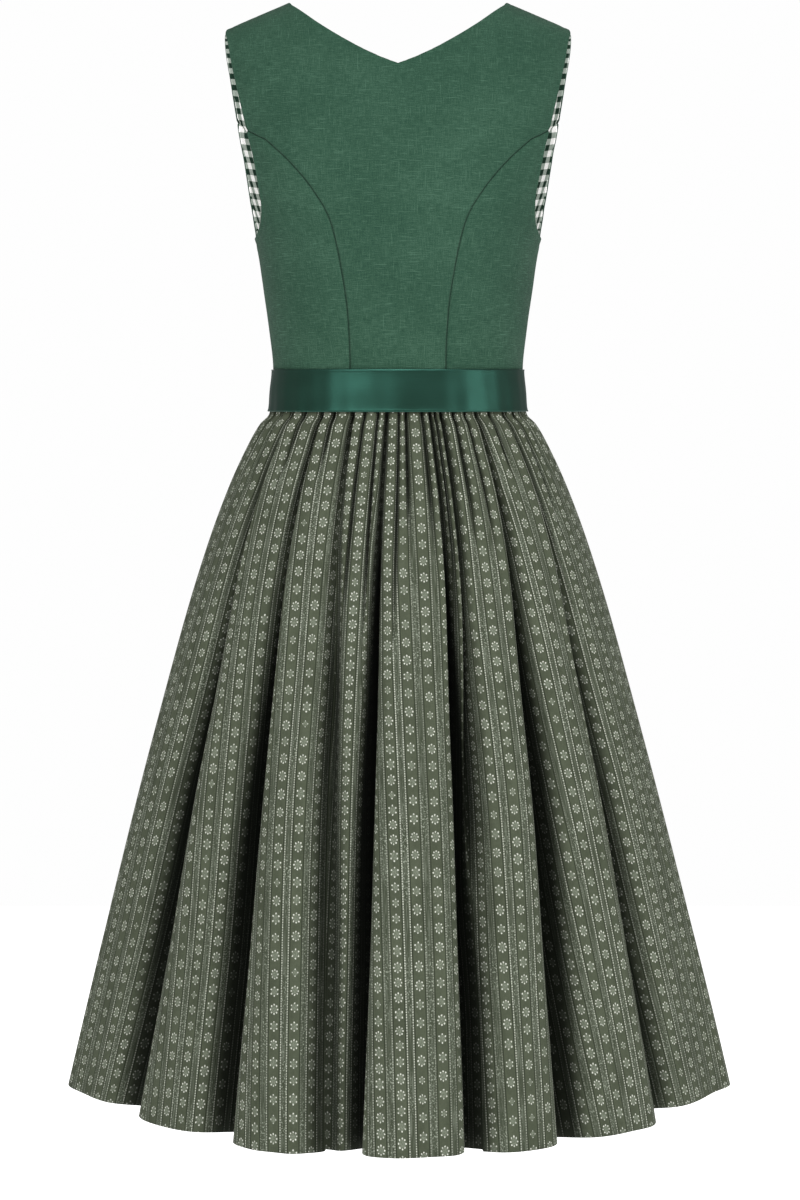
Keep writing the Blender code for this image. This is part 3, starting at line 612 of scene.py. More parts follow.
# broad soft ridges within the folds: direction at the waist and hem in degrees, shares of the
# length between which the ridge runs, its height and width in metres
ridgeColumns = ("waist", "hem", "starts", "ends", "height", "width")
ridgeRows = (
    (-54.0, -50.5, 0.18, 0.95, 0.0045, 0.015),
    (-41.0, -29.0, 0.12, 0.6, 0.004, 0.012),
    (-36.0, -23.5, 0.35, 1.3, 0.005, 0.016),
    (-21.0, -12.4, 0.1, 0.75, 0.0035, 0.01),
    (-2.0, -2.6, 0.08, 0.55, 0.003, 0.01),
    (9.0, 8.6, 0.3, 1.3, 0.004, 0.014),
    (16.0, 11.8, 0.1, 0.5, 0.003, 0.01),
    (36.0, 25.5, 0.2, 0.9, 0.005, 0.015),
    (52.0, 43.0, 0.15, 0.55, 0.0035, 0.012),
    (55.0, 50.5, 0.45, 1.3, 0.0045, 0.017),
    (-78.0, -81.0, 0.4, 1.6, 0.0055, 0.024),
    (78.0, 81.0, 0.4, 1.6, 0.0085, 0.024),
    (103.0, 105.0, 0.15, 0.8, 0.004, 0.014),
    (123.0, 122.0, 0.3, 1.3, 0.005, 0.016),
    (145.0, 145.0, 0.15, 0.7, 0.0045, 0.015),
    (170.0, 172.0, 0.25, 1.3, 0.005, 0.016),
    (-160.0, -161.0, 0.2, 0.9, 0.0045, 0.015),
    (-140.0, -141.0, 0.35, 1.3, 0.005, 0.016),
    (-122.0, -123.0, 0.15, 0.75, 0.0045, 0.014),
    (-104.0, -106.0, 0.3, 1.3, 0.005, 0.016),
)

# lengths, depths and widths are in metres, and places down the skirt are shares of its length
skirtValues = {
    "rows": 126,
    "rowCrowding": 0.58,  # how much denser the rows are at the top
    "hemStep": 0.0031,  # spacing of the grid at the hem
    "hemReach": 0.33,
    "flanks": (0.110, 0.030),  # cloth in the sides of a fold that reaches the hem, and of one that ends
    "fewestColumns": 16,
    "columnCrowding": 0.55,
    "wall": 0.0010,
    "fanPower": 0.8,  # how the folds fan out: 1 is evenly down the skirt, less is sooner
    "lobeTuck": 0.78,  # how far the cloth is drawn in towards the folds
    "foldOpens": 0.48,  # where a fold has its full depth, and its full width
    "foldBroadens": 0.80,
    "foldHemGain": 0.15,
    "foldFades": 0.60,
    "foldRoundness": 2.3,
    "foldShoulder": 0.22,  # part of a fold that is a broad, soft slope at its sides
    "shoulderReach": 2.2,
    "steepSide": 0.60,  # width of a fold's steep side
    # fold depths between which the painted shade in the folds comes in
    "paintedShadeDepths": (0.005, 0.030),
    "hemShadeFade": 0.08,  # how much weaker the painted shade in the folds is at the hem
    "foldHang": 0.14,  # how much lower the hem hangs in a fold, for each metre of depth
    "cornerLift": 0.055,  # how much it lifts beside the fold, and how far out that reaches
    "cornerReach": 1.9,
    "startWidth": 0.0021,  # width and depth of a fold at the waist
    "startDepth": 0.012,
    "creviceDepth": 0.0080,  # gap between two pleats
    "creviceWidth": 0.0012,
    "pleatUneven": 0.50,  # how unequal the pleats are
    "pleatRound": 0.0011,  # how far a pleat's middle stands out
    "pleatStep": 0.0007,  # how far one edge of a pleat lies over the next
    "pleatSprings": 0.045,  # where the pleats have sprung open
    "pleatEnds": (0.13, 0.42),  # where the first and the last of them have faded
    "tucked": 0.18,  # part of all this under the ribbon
    "waistTuck": 0.0015,  # how far the cloth is drawn in just under the ribbon
    "hipTuck": 0.0042,  # and a third of the way down
    "sideLift": 0.0070,  # how much higher the hem hangs at the sides
    "dropBlend": 0.16,  # part of a lobe over which the hem steps down to the next
    "seams": {"skirt_left": 2, "skirt_back": 6, "skirt_right": 11, "skirt_front": 15},  # fold numbers
}


# polar superellipse at a true direction: reach = (|sin/halfWidth|^n + |cos/depth|^n)^(-1/n)
def skirtOutline(angle, row):
    halfWidth, depth, side, power = sectionSizes(skirtTable, angle, row)
    total = np.abs(np.sin(angle) / halfWidth) ** power + np.abs(np.cos(angle) / depth) ** power
    reach = total ** (-1.0 / power)
    parts = reach * np.sin(angle), side - reach * np.cos(angle), readColumn(skirtTable, "level", row)
    return np.stack(np.broadcast_arrays(*parts), axis=-1)


# shares drawn together around 0 and 1: x - amount * sin(2 pi x) / (2 pi)
def drawnTogether(even, amount):
    return even - amount * np.sin(2 * math.pi * even) / (2 * math.pi)


# for every grid column its lobe, its pleat and its directions at the waist and the hem
def skirtColumns():
    values = skirtValues
    parts = []
    firstPleat = 0
    for number, fold in enumerate(folds):
        following = folds[(number + 1) % len(folds)]
        turn = 360.0 if number + 1 == len(folds) else 0.0
        waistSpan = following["waist"] + turn - fold["waist"]
        hemSpan = following["hem"] + turn - fold["hem"]
        pleats = fold["pleats"]
        hemLength = math.radians(hemSpan) * values["hemReach"] + values["flanks"][fold["ends"] < 1.0]
        perPleat = max(values["fewestColumns"], round(hemLength / (pleats * values["hemStep"])))
        index = np.arange(pleats * perPleat)
        inPleat = (index % perPleat) / perPleat
        crowded = drawnTogether(inPleat, values["columnCrowding"])
        lines = np.arange(pleats + 1.0)
        lines[1:-1] += values["pleatUneven"] * (scatter(firstPleat + lines[1:-1], 8.0) - 0.5)
        atWaist = np.interp(index // perPleat + crowded, np.arange(len(lines)), lines) / pleats
        atHem = drawnTogether(index / len(index), values["lobeTuck"])
        parts.append({
            "lobe": np.full(len(index), number),
            "pleat": firstPleat + index // perPleat,
            "waist": np.radians(fold["waist"] + atWaist * waistSpan),
            "hem": np.radians(fold["hem"] + atHem * hemSpan),
        })
        firstPleat += pleats
    return {name: np.concatenate([part[name] for part in parts]) for name in parts[0]}


columns = skirtColumns()
columnCount = len(columns["lobe"])
pleatCount = int(columns["pleat"][-1]) + 1
pleatStarts = np.searchsorted(columns["pleat"], np.arange(pleatCount))
pleatCentres = (pleatStarts + np.append(pleatStarts[1:], columnCount)) // 2
lobeStarts = np.searchsorted(columns["lobe"], np.arange(len(folds)))


# share of the skirt's length of each row: 0 at the waist seam and 1 at the hem, denser at the top
def skirtShares():
    even = np.linspace(0.0, 1.0, skirtValues["rows"])
    return even + skirtValues["rowCrowding"] * (even ** 2 - even)


# share of the length at which each pleat line fades: where the cloth from one pleat's middle to
# the next has opened to a full repeat of the print
def pleatFades(angle, speed, share):
    middle = angle[:, pleatCentres]
    before = np.roll(middle, 1, axis=1)
    before[:, 0] -= 2 * math.pi
    opened = (middle - before) * speed[:, pleatStarts] >= printFinish["pitch"]
    opened[-1] = True
    uneven = 0.88 + 0.24 * scatter(np.arange(pleatCount), 1.0)
    return np.clip(share[np.argmax(opened, axis=0), 0] * uneven, *skirtValues["pleatEnds"])


# how far the pleats draw the cloth in: a crevice at each line, rounded pleats between them; also a mask of
# painted shade in the crevices
def pleatDrop(angle, speed, share, pleatEnds):
    values = skirtValues
    pleat = columns["pleat"]
    following = (pleat + 1) % pleatCount
    wholeTurn = np.where(following < pleat, 2 * math.pi, 0.0)
    start = angle[:, pleatStarts[pleat]]
    end = angle[:, pleatStarts[following]] + wholeTurn
    place = np.clip((angle - start) / (end - start), 0.0, 1.0)
    nearer = np.where(place < 0.5, pleat, following)
    distance = np.minimum(angle - start, end - angle) * speed
    fade = 1.0 - softStep(share, 0.45 * pleatEnds[nearer], pleatEnds[nearer])
    ownFade = 1.0 - softStep(share, 0.35 * pleatEnds[pleat], pleatEnds[pleat])
    width = values["creviceWidth"] * (0.75 + 0.7 * scatter(nearer, 2.0)) * (1.0 + 3.0 * share)
    depth = values["creviceDepth"] * (0.75 + 0.5 * scatter(nearer, 3.0))
    crevice = depth * bell(distance, width, 1.5) * fade
    roundness = values["pleatRound"] * (0.7 + 0.6 * scatter(pleat, 4.0))
    rounding = roundness * np.abs(2.0 * place - 1.0) ** 2.4 * ownFade
    way = np.where(scatter(pleat, 5.0) > 0.35, 1.0, -1.0)
    lean = values["pleatStep"] * (2.0 * place - 1.0) * way * ownFade
    sprung = values["tucked"] + (1.0 - values["tucked"]) * softStep(share, 0.0, values["pleatSprings"])
    # painted shade: a mask that darkens the print in the crevices between pleats
    hollow = bell(distance, 1.25 * width) * fade * sprung
    return (crevice + rounding + lean) * sprung, hollow


# turn from a line that fans out from its direction at the waist to its direction at the hem
def turnFrom(line, angle, share):
    centre = np.radians(line["waist"] + (line["hem"] - line["waist"]) * share ** skirtValues["fanPower"])
    return (angle - centre + math.pi) % (2 * math.pi) - math.pi


# drop, sideways slide, hem lift and painted shade (a mask in their hollows) of the main folds: a bell that
# is steep on the side it leans away from and slopes on the other, with broad, soft shoulders
def foldDrop(angle, speed, share):
    values = skirtValues
    opened = softStep(share, 0.0, values["foldOpens"]) * (1.0 - values["foldHemGain"] * (1.0 - share))
    broadened = softStep(share, 0.0, values["foldBroadens"])
    started = softStep(share, 0.01, 0.06) * (1.0 - softStep(share, 0.12, 0.5))
    soft = values["foldShoulder"] * softStep(share, 0.10, 0.50)
    drop, slide, hollow, lift = np.zeros((4,) + angle.shape)
    for fold in folds:
        turned = turnFrom(fold, angle, share)
        distance = np.abs(turned) * speed
        fading = 1.0 - softStep(share, values["foldFades"] * fold["ends"], fold["ends"])
        broad = values["startWidth"] + (fold["width"] - values["startWidth"]) * broadened
        reach = np.where(turned * fold["lean"] < 0.0, values["steepSide"], fold["slope"])
        broad = broad * (1.0 + (reach - 1.0) * softStep(share, 0.03, 0.30))
        bottom = bell(distance, broad, values["foldRoundness"])
        section = (1.0 - soft) * bottom + soft * bell(distance, values["shoulderReach"] * broad)
        depth = np.maximum(fold["depth"] * opened, values["startDepth"] * started)
        drop += depth * section * fading
        slide += fold["lean"] * opened * fading * bottom
        lift += fold["depth"] * bell(distance, values["cornerReach"] * broad) * fading
        # painted shade: the deeper the fold, the darker its print is painted
        deep = softStep(depth * section * fading, *values["paintedShadeDepths"])
        hollow = np.maximum(hollow, fold["shade"] * np.maximum(deep, 0.8 * bottom * started * fading))
    hollow = hollow * (1.0 - values["hemShadeFade"] * softStep(share, 0.6, 1.0))
    return drop, slide, lift * share ** 3, hollow


# ridges: bells around, faded in and out along the length
def ridgeRise(angle, speed, share):
    rise = np.zeros(angle.shape)
    for ridge in namedRows(ridgeColumns, ridgeRows):
        middle = 0.5 * (ridge["starts"] + ridge["ends"])
        span = softStep(share, ridge["starts"], middle) * (1.0 - softStep(share, middle, ridge["ends"]))
        rise += ridge["height"] * span * bell(turnFrom(ridge, angle, share) * speed, ridge["width"])
    return rise


# how much lower each lobe hangs, blended over the folds between them
def hemDrop(share):
    drops = np.array([fold["drop"] for fold in folds])
    lobe = columns["lobe"]
    size = np.diff(np.append(lobeStarts, columnCount))[lobe]
    place = (np.arange(columnCount) - lobeStarts[lobe]) / size
    own = drops[lobe]
    blend = skirtValues["dropBlend"]
    towardsLast = (0.5 - softStep(place, -blend, blend)).clip(0.0, 0.5)
    towardsNext = softStep(place, 1.0 - blend, 1.0 + blend).clip(0.0, 0.5)
    hang = own + (drops[lobe - 1] - own) * towardsLast
    return (hang + (drops[(lobe + 1) % len(folds)] - own) * towardsNext) * share ** 2.5


# the outline drawn in by pleats and folds along its outward normal, and slid along its tangent
def skirtForm():
    values = skirtValues
    share = skirtShares()[:, None]
    levels = skirtTable["level"]
    row = rowOf(skirtTable, levels[0] + (levels[-1] - levels[0]) * share)
    angle = columns["waist"] + (columns["hem"] - columns["waist"]) * share ** values["fanPower"]
    small = 0.002
    along = skirtOutline(angle + small, row) - skirtOutline(angle - small, row)
    length = np.linalg.norm(along, axis=-1)
    tangent = along / length[..., None]
    outward = np.stack([tangent[..., 1], -tangent[..., 0], 0 * length], axis=-1)
    speed = length / (2 * small)
    pleatEnds = pleatFades(angle, speed, share)
    pleats, pleatPaintedShade = pleatDrop(angle, speed, share, pleatEnds)
    deep, slide, lift, foldPaintedShade = foldDrop(angle, speed, share)
    drop = np.maximum(deep, pleats) + 0.35 * np.minimum(deep, pleats) - ridgeRise(angle, speed, share)
    drop = drop + values["waistTuck"] * (softStep(share, 0.01, 0.05) - softStep(share, 0.10, 0.30))
    drop = drop + values["hipTuck"] * bell(share - 0.34, 0.16)
    points = skirtOutline(angle, row) - drop[..., None] * outward + slide[..., None] * tangent
    points[..., 2] -= hemDrop(share) + values["foldHang"] * deep * share ** 2
    points[..., 2] += values["cornerLift"] * lift
    points[..., 2] += values["sideLift"] * share ** 3 * np.abs(np.sin(angle)) ** 8
    # also gives the painted shade mask of folds and pleats, the 'hollow' value
    return points[::-1], np.maximum(foldPaintedShade, 0.8 * pleatPaintedShade)[::-1], pleatEnds


# around the skirt the cloth is measured from the middle pleat of each lobe, which carries a row of
# flowers; near the waist each pleat shows one row, and the rest of the print is tucked in between.
# Where a fold ends above the hem, the lobe after it goes on from the one before
def skirtCloth(points, pleatEnds):
    share = skirtShares()[::-1]
    pitch = printFinish["pitch"]
    arc, _ = runLengths(np.concatenate([points, points[:, :1]], axis=1))
    _, down = runLengths(points[::-1])
    down = down[::-1]
    offset, reference, length = np.zeros((3, len(share), columnCount))
    lobeOfPleat = columns["lobe"][pleatStarts]
    for lobe in range(len(folds)):
        pleats = np.flatnonzero(lobeOfPleat == lobe)
        middle = pleats[len(pleats) // 2]
        inLobe = columns["lobe"] == lobe
        reference[:, inLobe] = arc[:, [pleatCentres[middle]]]
        length[:, inLobe] = down[:, [pleatCentres[middle]]]
        for pleat in pleats[1:]:
            apart = arc[:, pleatCentres[pleat]] - arc[:, pleatCentres[pleat - 1]]
            fullyOpen = np.interp(-pleatEnds[pleat], -share, apart)
            wanted = pitch + (fullyOpen - pitch) * softStep(share, 0.0, pleatEnds[pleat])
            tucked = np.where(share < pleatEnds[pleat], wanted - apart, 0.0)[:, None]
            if pleat <= middle:
                offset[:, inLobe & (columns["pleat"] < pleat)] -= tucked
            else:
                offset[:, inLobe & (columns["pleat"] >= pleat)] += tucked
    shift = offset - reference + pitch * (0.5 + 5.0 * columns["lobe"])
    left = arc[:, :-1] + shift
    right = arc[:, 1:] + shift
    for lobe in np.flatnonzero([fold["ends"] < 1.0 for fold in folds]):
        gap = right[0, lobeStarts[lobe] - 1] - left[0, lobeStarts[lobe]]
        left[:, columns["lobe"] == lobe] += gap
        right[:, columns["lobe"] == lobe] += gap
    return np.stack([left, length], axis=-1), np.stack([right, length], axis=-1)


# the skirt's widths, each from the bottom of one fold to that of the fold the next one starts in
def skirtPieces(firstFolds, outside, inside):
    points, hollow, pleatEnds = skirtForm()
    left, right = skirtCloth(points, pleatEnds)
    starts = lobeStarts[list(firstFolds.values())]
    pieces = {}
    for name, first, last in zip(firstFolds, starts, np.roll(starts, -1)):
        index = np.arange(first, last + 1 + (columnCount if last < first else 0)) % columnCount
        quads = index[:-1]
        piece = sheetMesh(name + "_cloth", points[:, index], left[:, quads], right[:, quads], outside)
        # painted shade: each point's share of the painted fold shade, read by the print
        pointValue(piece, "hollow", hollow[:, index])
        piece.data.materials.append(inside)
        giveWall(piece, skirtValues["wall"])
        piece.modifiers["wall"].material_offset = 1
        pieces[name] = piece
    return pieces


ribbonValues = {
    "top": -0.3630,
    "seam": -0.3850,
    "bottom": -0.4062,
    "columns": 420,
    "rows": 22,
    "clearance": 0.0004,
    "wall": 0.0008,
    "selvedge": 0.00035,  # raised edge, and how wide it is
    "selvedgeWidth": 0.0011,
    "waves": 0.00022,  # upright soft waves from the pleats and seams underneath
}


# the sections of skirt and bodice at each level, pushed out by the wall, soft waves and selvedges
def ribbonPiece(name, material):
    values = ribbonValues
    turn = np.linspace(-math.pi, math.pi, values["columns"], endpoint=False)
    height = np.linspace(values["bottom"], values["top"], values["rows"])
    angle, level = np.meshgrid(turn, height)
    below = sectionPoint(skirtTable, angle, rowOf(skirtTable, np.minimum(level, values["seam"])))
    above = sectionPoint(bodiceTable, angle, rowOf(bodiceTable, np.maximum(level, values["seam"])))
    x, y = np.where(level < values["seam"], below, above)
    points = np.stack([x, y, level], axis=-1)
    along = np.roll(points, -1, axis=1) - np.roll(points, 1, axis=1)
    normal = unit(np.cross(along, np.gradient(points, axis=0)))
    low = (level - values["bottom"]) / (values["top"] - values["bottom"])
    fromEdge = np.minimum(level - values["bottom"], values["top"] - level)
    selvedge = values["selvedge"] * bell(fromEdge, values["selvedgeWidth"])
    waves = np.sin(11 * angle + 1.4 * low) + 0.7 * np.sin(23 * angle + 2.0 - 1.8 * low)
    waves = values["waves"] * (1.0 + (waves + 0.6 * np.sin(37 * angle + 1.0 + low)) * (1.15 - 0.7 * low))
    points = points + (values["clearance"] + values["wall"] + waves + selvedge)[..., None] * normal
    run = np.stack(runLengths(np.concatenate([points, points[:, :1]], axis=1)), axis=-1)
    piece = sheetMesh(name, points, run[:, :-1], run[:, 1:], material, wrap=True)
    giveWall(piece, values["wall"])
    return piece


# a number or colour that changes over the surface: the usual signs on it make Math nodes
class Reading:
    def __init__(self, bench, socket):
        self.bench = bench
        self.socket = socket

    def apply(self, operation, other=0.0):
        return self.bench.made("ShaderNodeMath", {0: self, 1: other}, operation=operation)

    def applyTo(self, operation, other):
        return self.bench.made("ShaderNodeMath", {0: other, 1: self}, operation=operation)

    __add__ = partialmethod(apply, "ADD")
    __radd__ = partialmethod(applyTo, "ADD")
    __sub__ = partialmethod(apply, "SUBTRACT")
    __rsub__ = partialmethod(applyTo, "SUBTRACT")
    __mul__ = partialmethod(apply, "MULTIPLY")
    __truediv__ = partialmethod(apply, "DIVIDE")
    __rtruediv__ = partialmethod(applyTo, "DIVIDE")

    # even rise from lowest to highest as the number goes from low to high
    def spread(self, low, high, lowest=0.0, highest=1.0, kind="LINEAR"):
        limits = {"From Min": low, "From Max": high, "To Min": lowest, "To Max": highest}
        return self.bench.made("ShaderNodeMapRange", {"Value": self, **limits}, interpolation_type=kind)

    # smooth fall from 1 to 0
    def fall(self, low, high):
        return self.spread(low, high, 1.0, 0.0, "SMOOTHSTEP")


class NodeBench:
    def __init__(self, tree):
        self.tree = tree

    def add(self, kind, **settings):
        node = self.tree.nodes.new(kind)
        for name, value in settings.items():
            setattr(node, name, value)
        return node

    # sets sockets to readings, to numbers, or to colours given without their alpha
    def fill(self, sockets, inputs):
        for name, value in inputs.items():
            if isinstance(value, Reading):
                self.tree.links.new(value.socket, sockets[name])
            else:
                sockets[name].default_value = (*value, 1.0) if isinstance(value, tuple) else value

    def read(self, sockets):
        return [Reading(self, socket) for socket in sockets]

    # a new node with its inputs filled, read at one of its outputs
    def made(self, kind, inputs, output=0, **settings):
        node = self.add(kind, **settings)
        self.fill(node.inputs, inputs)
        return Reading(self, node.outputs[output])

    def join(self, x, y, z=0.0):
        return self.made("ShaderNodeCombineXYZ", {0: x, 1: y, 2: z})

    # noise over the cloth's coordinates, with its own scale along each of them
    def noise(self, acrossScale, downScale, detail=1.0, roughness=0.5, turn=0.0, across=None):
        place = self.join((across or self.across) * acrossScale, self.down * downScale, turn)
        inputs = {"Vector": place, "Scale": 1.0, "Detail": detail, "Roughness": roughness}
        return self.made("ShaderNodeTexNoise", inputs)

    # an even, repeatable number from 0 to 1 for each pair
    def chance(self, first, second=0.0):
        pair = self.join(first, second)
        return self.made("ShaderNodeTexWhiteNoise", {"Vector": pair}, noise_dimensions="2D")

    def pointValue(self, name):
        return self.made("ShaderNodeAttribute", {}, "Fac", attribute_name=name)

    def mix(self, share, first, second, blend="MIX"):
        node = self.add("ShaderNodeMix", data_type="RGBA", blend_type=blend)
        sockets = {socket.identifier: socket for socket in (*node.inputs, *node.outputs)}
        self.fill(sockets, {"Factor_Float": share, "A_Color": first, "B_Color": second})
        return Reading(self, sockets["Result_Color"])

    # the colour times a grey that goes from darkest to white
    def shade(self, colour, share, darkest):
        return self.mix(1.0, colour, self.mix(share, (darkest,) * 3, (1.0, 1.0, 1.0)), "MULTIPLY")


def distanceOf(x, y):
    return (x * x + y * y).apply("SQRT")


# plain weave: threads over and under as sin * sin, with slubs as noise stretched along each way
def wovenGroup():
    group = bpy.data.node_groups.new("woven cloth", "ShaderNodeTree")
    for name, start in (("Across", 0.0), ("Down", 0.0), ("Threads", 1400.0), ("Slubs", 1.0)):
        socket = group.interface.new_socket(name=name, in_out="INPUT", socket_type="NodeSocketFloat")
        socket.default_value = start
    for name in ("Weave", "Slub", "Mottle"):
        group.interface.new_socket(name=name, in_out="OUTPUT", socket_type="NodeSocketFloat")
    bench = NodeBench(group)
    bench.across, bench.down, threads, slubs = bench.read(bench.add("NodeGroupInput").outputs[:4])
    warp, weft = ((way * threads * math.pi).apply("SINE") for way in (bench.across, bench.down))
    level = bench.noise(110.0, 1500.0, 2.0, 0.6)
    upright = bench.noise(1300.0, 90.0, 2.0, 0.6, turn=5.0)
    bench.fill(bench.add("NodeGroupOutput").inputs, {
        "Weave": warp * weft,
        "Slub": (level * 0.6 + upright * 0.4 - 0.5) * slubs,
        "Mottle": bench.noise(9.0, 13.0, 4.0, 0.62, turn=9.0),
    })
    return group


woven = wovenGroup()


def newMaterial(name):
    material = bpy.data.materials.new(name)
    material.use_nodes = True
    return material, NodeBench(material.node_tree)


# a new material with the cloth's own coordinates on its bench
def clothMaterial(name):
    material, bench = newMaterial(name)
    parts = bench.add("ShaderNodeSeparateXYZ")
    bench.fill(parts.inputs, {0: bench.made("ShaderNodeUVMap", {}, uv_map="cloth")})
    bench.across, bench.down = bench.read(parts.outputs[:2])
    return material, bench


def placeWoven(bench, finish):
    node = bench.add("ShaderNodeGroup", node_tree=woven)
    ways = {"Across": bench.across, "Down": bench.down}
    bench.fill(node.inputs, {**ways, "Threads": finish["threads"], "Slubs": finish["slubs"]})
    return bench.read(node.outputs)


def finishShader(bench, height, distance, inputs):
    bump = bench.made("ShaderNodeBump", {"Strength": 1.0, "Distance": distance, "Height": height})
    bench.fill(bench.tree.nodes["Principled BSDF"].inputs, {**inputs, "Normal": bump})


linenFinish = {
    "dark": (0.0150, 0.049, 0.0305),
    "mid": (0.0250, 0.0705, 0.0435),
    "light": (0.053, 0.119, 0.079),
    # painted shade colour of the seam grooves
    "seam": (0.002, 0.007, 0.0045),
    "threads": 1350.0,  # threads in a metre
    "slubs": 1.0,
    "bump": 0.00022,
    "sheen": 0.05,
}


# linen: colour from dark through mid to light with slubs and mottling; bump from weave and slubs
def linenMaterial():
    finish = linenFinish
    material, bench = clothMaterial("greenLinen")
    weave, slub, mottle = placeWoven(bench, finish)
    grain = bench.noise(1250.0, 1500.0, 1.0, 0.6, turn=17.0)
    level = bench.noise(42.0, 1000.0, 1.0, 0.6, turn=14.0)
    upright = bench.noise(1000.0, 34.0, 1.0, 0.6, turn=23.0)
    tone = slub * 2.6 + weave * 0.12 + mottle.spread(0.3, 0.7, 0.30, 0.62)
    tone = tone + grain.spread(0.2, 0.8, -0.46, 0.46) + level.spread(0.64, 0.76, 0.0, 1.10)
    tone = tone + upright.spread(0.64, 0.78, 0.0, 0.55)
    darker = bench.mix(tone.spread(0.0, 0.5), finish["dark"], finish["mid"])
    colour = bench.mix(tone.spread(0.5, 1.0), darker, finish["light"])
    finishShader(bench, slub * 1.6 + weave * 0.4, finish["bump"], {
        # painted shade along the seams
        "Base Color": bench.mix(bench.pointValue("seam") * 0.70, colour, finish["seam"]),
        "Roughness": tone.spread(0.0, 1.0, 0.92, 0.78),
        "Sheen Weight": finish["sheen"],
        "Sheen Roughness": 0.5,
        "Specular IOR Level": 0.12,
    })
    return material


ginghamFinish = {
    "repeat": 0.0128,  # two squares, one dark and one light
    "dark": (0.006, 0.024, 0.014),
    "mid": (0.30, 0.345, 0.305),
    "white": (0.93, 0.91, 0.90),
    "softness": 0.00035,
    "paintedGlow": 0.50,  # painted light: emission strength that makes the lining glow, for light through the thin cloth
    "threads": 1700.0,
    "slubs": 0.6,
    "bump": 0.00010,
}


# gingham: dark where green warp crosses green weft, mid where green crosses white, else white
def ginghamMaterial():
    finish = ginghamFinish
    material, bench = clothMaterial("greenGingham")
    weave, slub, _ = placeWoven(bench, finish)
    quarter = finish["repeat"] / 4
    edges = quarter - finish["softness"], quarter + finish["softness"]
    warp, weft = (way.apply("PINGPONG", 2 * quarter).fall(*edges) for way in (bench.across, bench.down))
    colour = bench.mix(warp.apply("MAXIMUM", weft), finish["white"], finish["mid"])
    colour = bench.mix(warp * weft, colour, finish["dark"])
    tone = slub * 0.8 + weave * 0.10
    finishShader(bench, weave, finish["bump"], {
        "Base Color": bench.shade(colour, tone.spread(-0.5, 0.5), 0.72),
        "Roughness": tone.spread(-0.5, 0.5, 0.9, 0.78),
        # painted light: the lining glows with its own colour
        "Emission Color": colour,
        "Emission Strength": finish["paintedGlow"],
        "Specular IOR Level": 0.25,
    })
    return material


satinFinish = {
    "base": (0.0050, 0.0105, 0.0062),
    "light": (0.0066, 0.0150, 0.0092),
    "tint": (0.28, 1.0, 0.78),
    "roughness": (0.33, 0.41),
    "anisotropy": 0.45,
    "specular": 0.78,
    "yarns": 2600.0,
    "bump": 0.00006,
}


# satin: fine lines along the ribbon with soft cloudy stretches, glossier along the upright way
def satinMaterial():
    finish = satinFinish
    material, bench = clothMaterial("greenSatin")
    yarn = bench.noise(40.0, finish["yarns"])
    cloud = bench.noise(14.0, 30.0, 2.0, turn=3.0)
    share = (yarn * 0.5 + cloud * 0.5).spread(0.35, 0.65)
    finishShader(bench, yarn, finish["bump"], {
        "Base Color": bench.mix(share, finish["base"], finish["light"]),
        "Roughness": cloud.spread(0.3, 0.7, *finish["roughness"]),
        "Tangent": bench.made("ShaderNodeTangent", {}, direction_type="UV_MAP", uv_map="cloth"),
        "Anisotropic": finish["anisotropy"],
        "Specular IOR Level": finish["specular"],
        "Specular Tint": finish["tint"],
    })
    return material


printFinish = {
    "pitch": 0.0202,  # from one row of flowers to the next, round the skirt
    "bandHalf": 0.0034,  # half the width of the flecked band between two strips
    "edgeLine": 0.0031,  # the dotted line's distance from the band's middle
    "edgeLineHalf": 0.00054,
    "edgeDots": 0.0024,  # repeat of its dots
    "darkLine": 0.0045,
    "darkLineHalf": 0.00050,
    "flowerRepeat": 0.0152,
    "flowerDrift": 0.0064,  # how unevenly the flowers follow each other
    "flowerTall": 1.24,  # height of a flower for its width
    "petalRing": 0.00345,
    "petalRadius": 0.00078,
    "heartRadius": 0.0029,
    "smallShare": 0.10,  # share of flowers that are small, and share that have more petals
    "fullShare": 0.58,
    "ground": (0.095, 0.111, 0.074),
    "groundDark": (0.069, 0.081, 0.053),
    "band": (0.060, 0.071, 0.047),
    "fleck": (0.30, 0.335, 0.265),
    "line": (0.75, 0.78, 0.67),
    "dark": (0.026, 0.032, 0.020),
    "petal": (0.79, 0.81, 0.72),
    "heart": (0.205, 0.232, 0.176),
    "deep": (0.0012, 0.0020, 0.0010),  # painted shade colour, deep in the folds
    "paintedShadeShare": 0.97,
    "reverse": (0.125, 0.140, 0.110),  # the cloth's other side, and how much of the print it shows
    "reverseShare": 0.35,
    "threads": 2300.0,
    "slubs": 0.8,
    "bump": 0.00014,
    "sheen": 0.01,
}


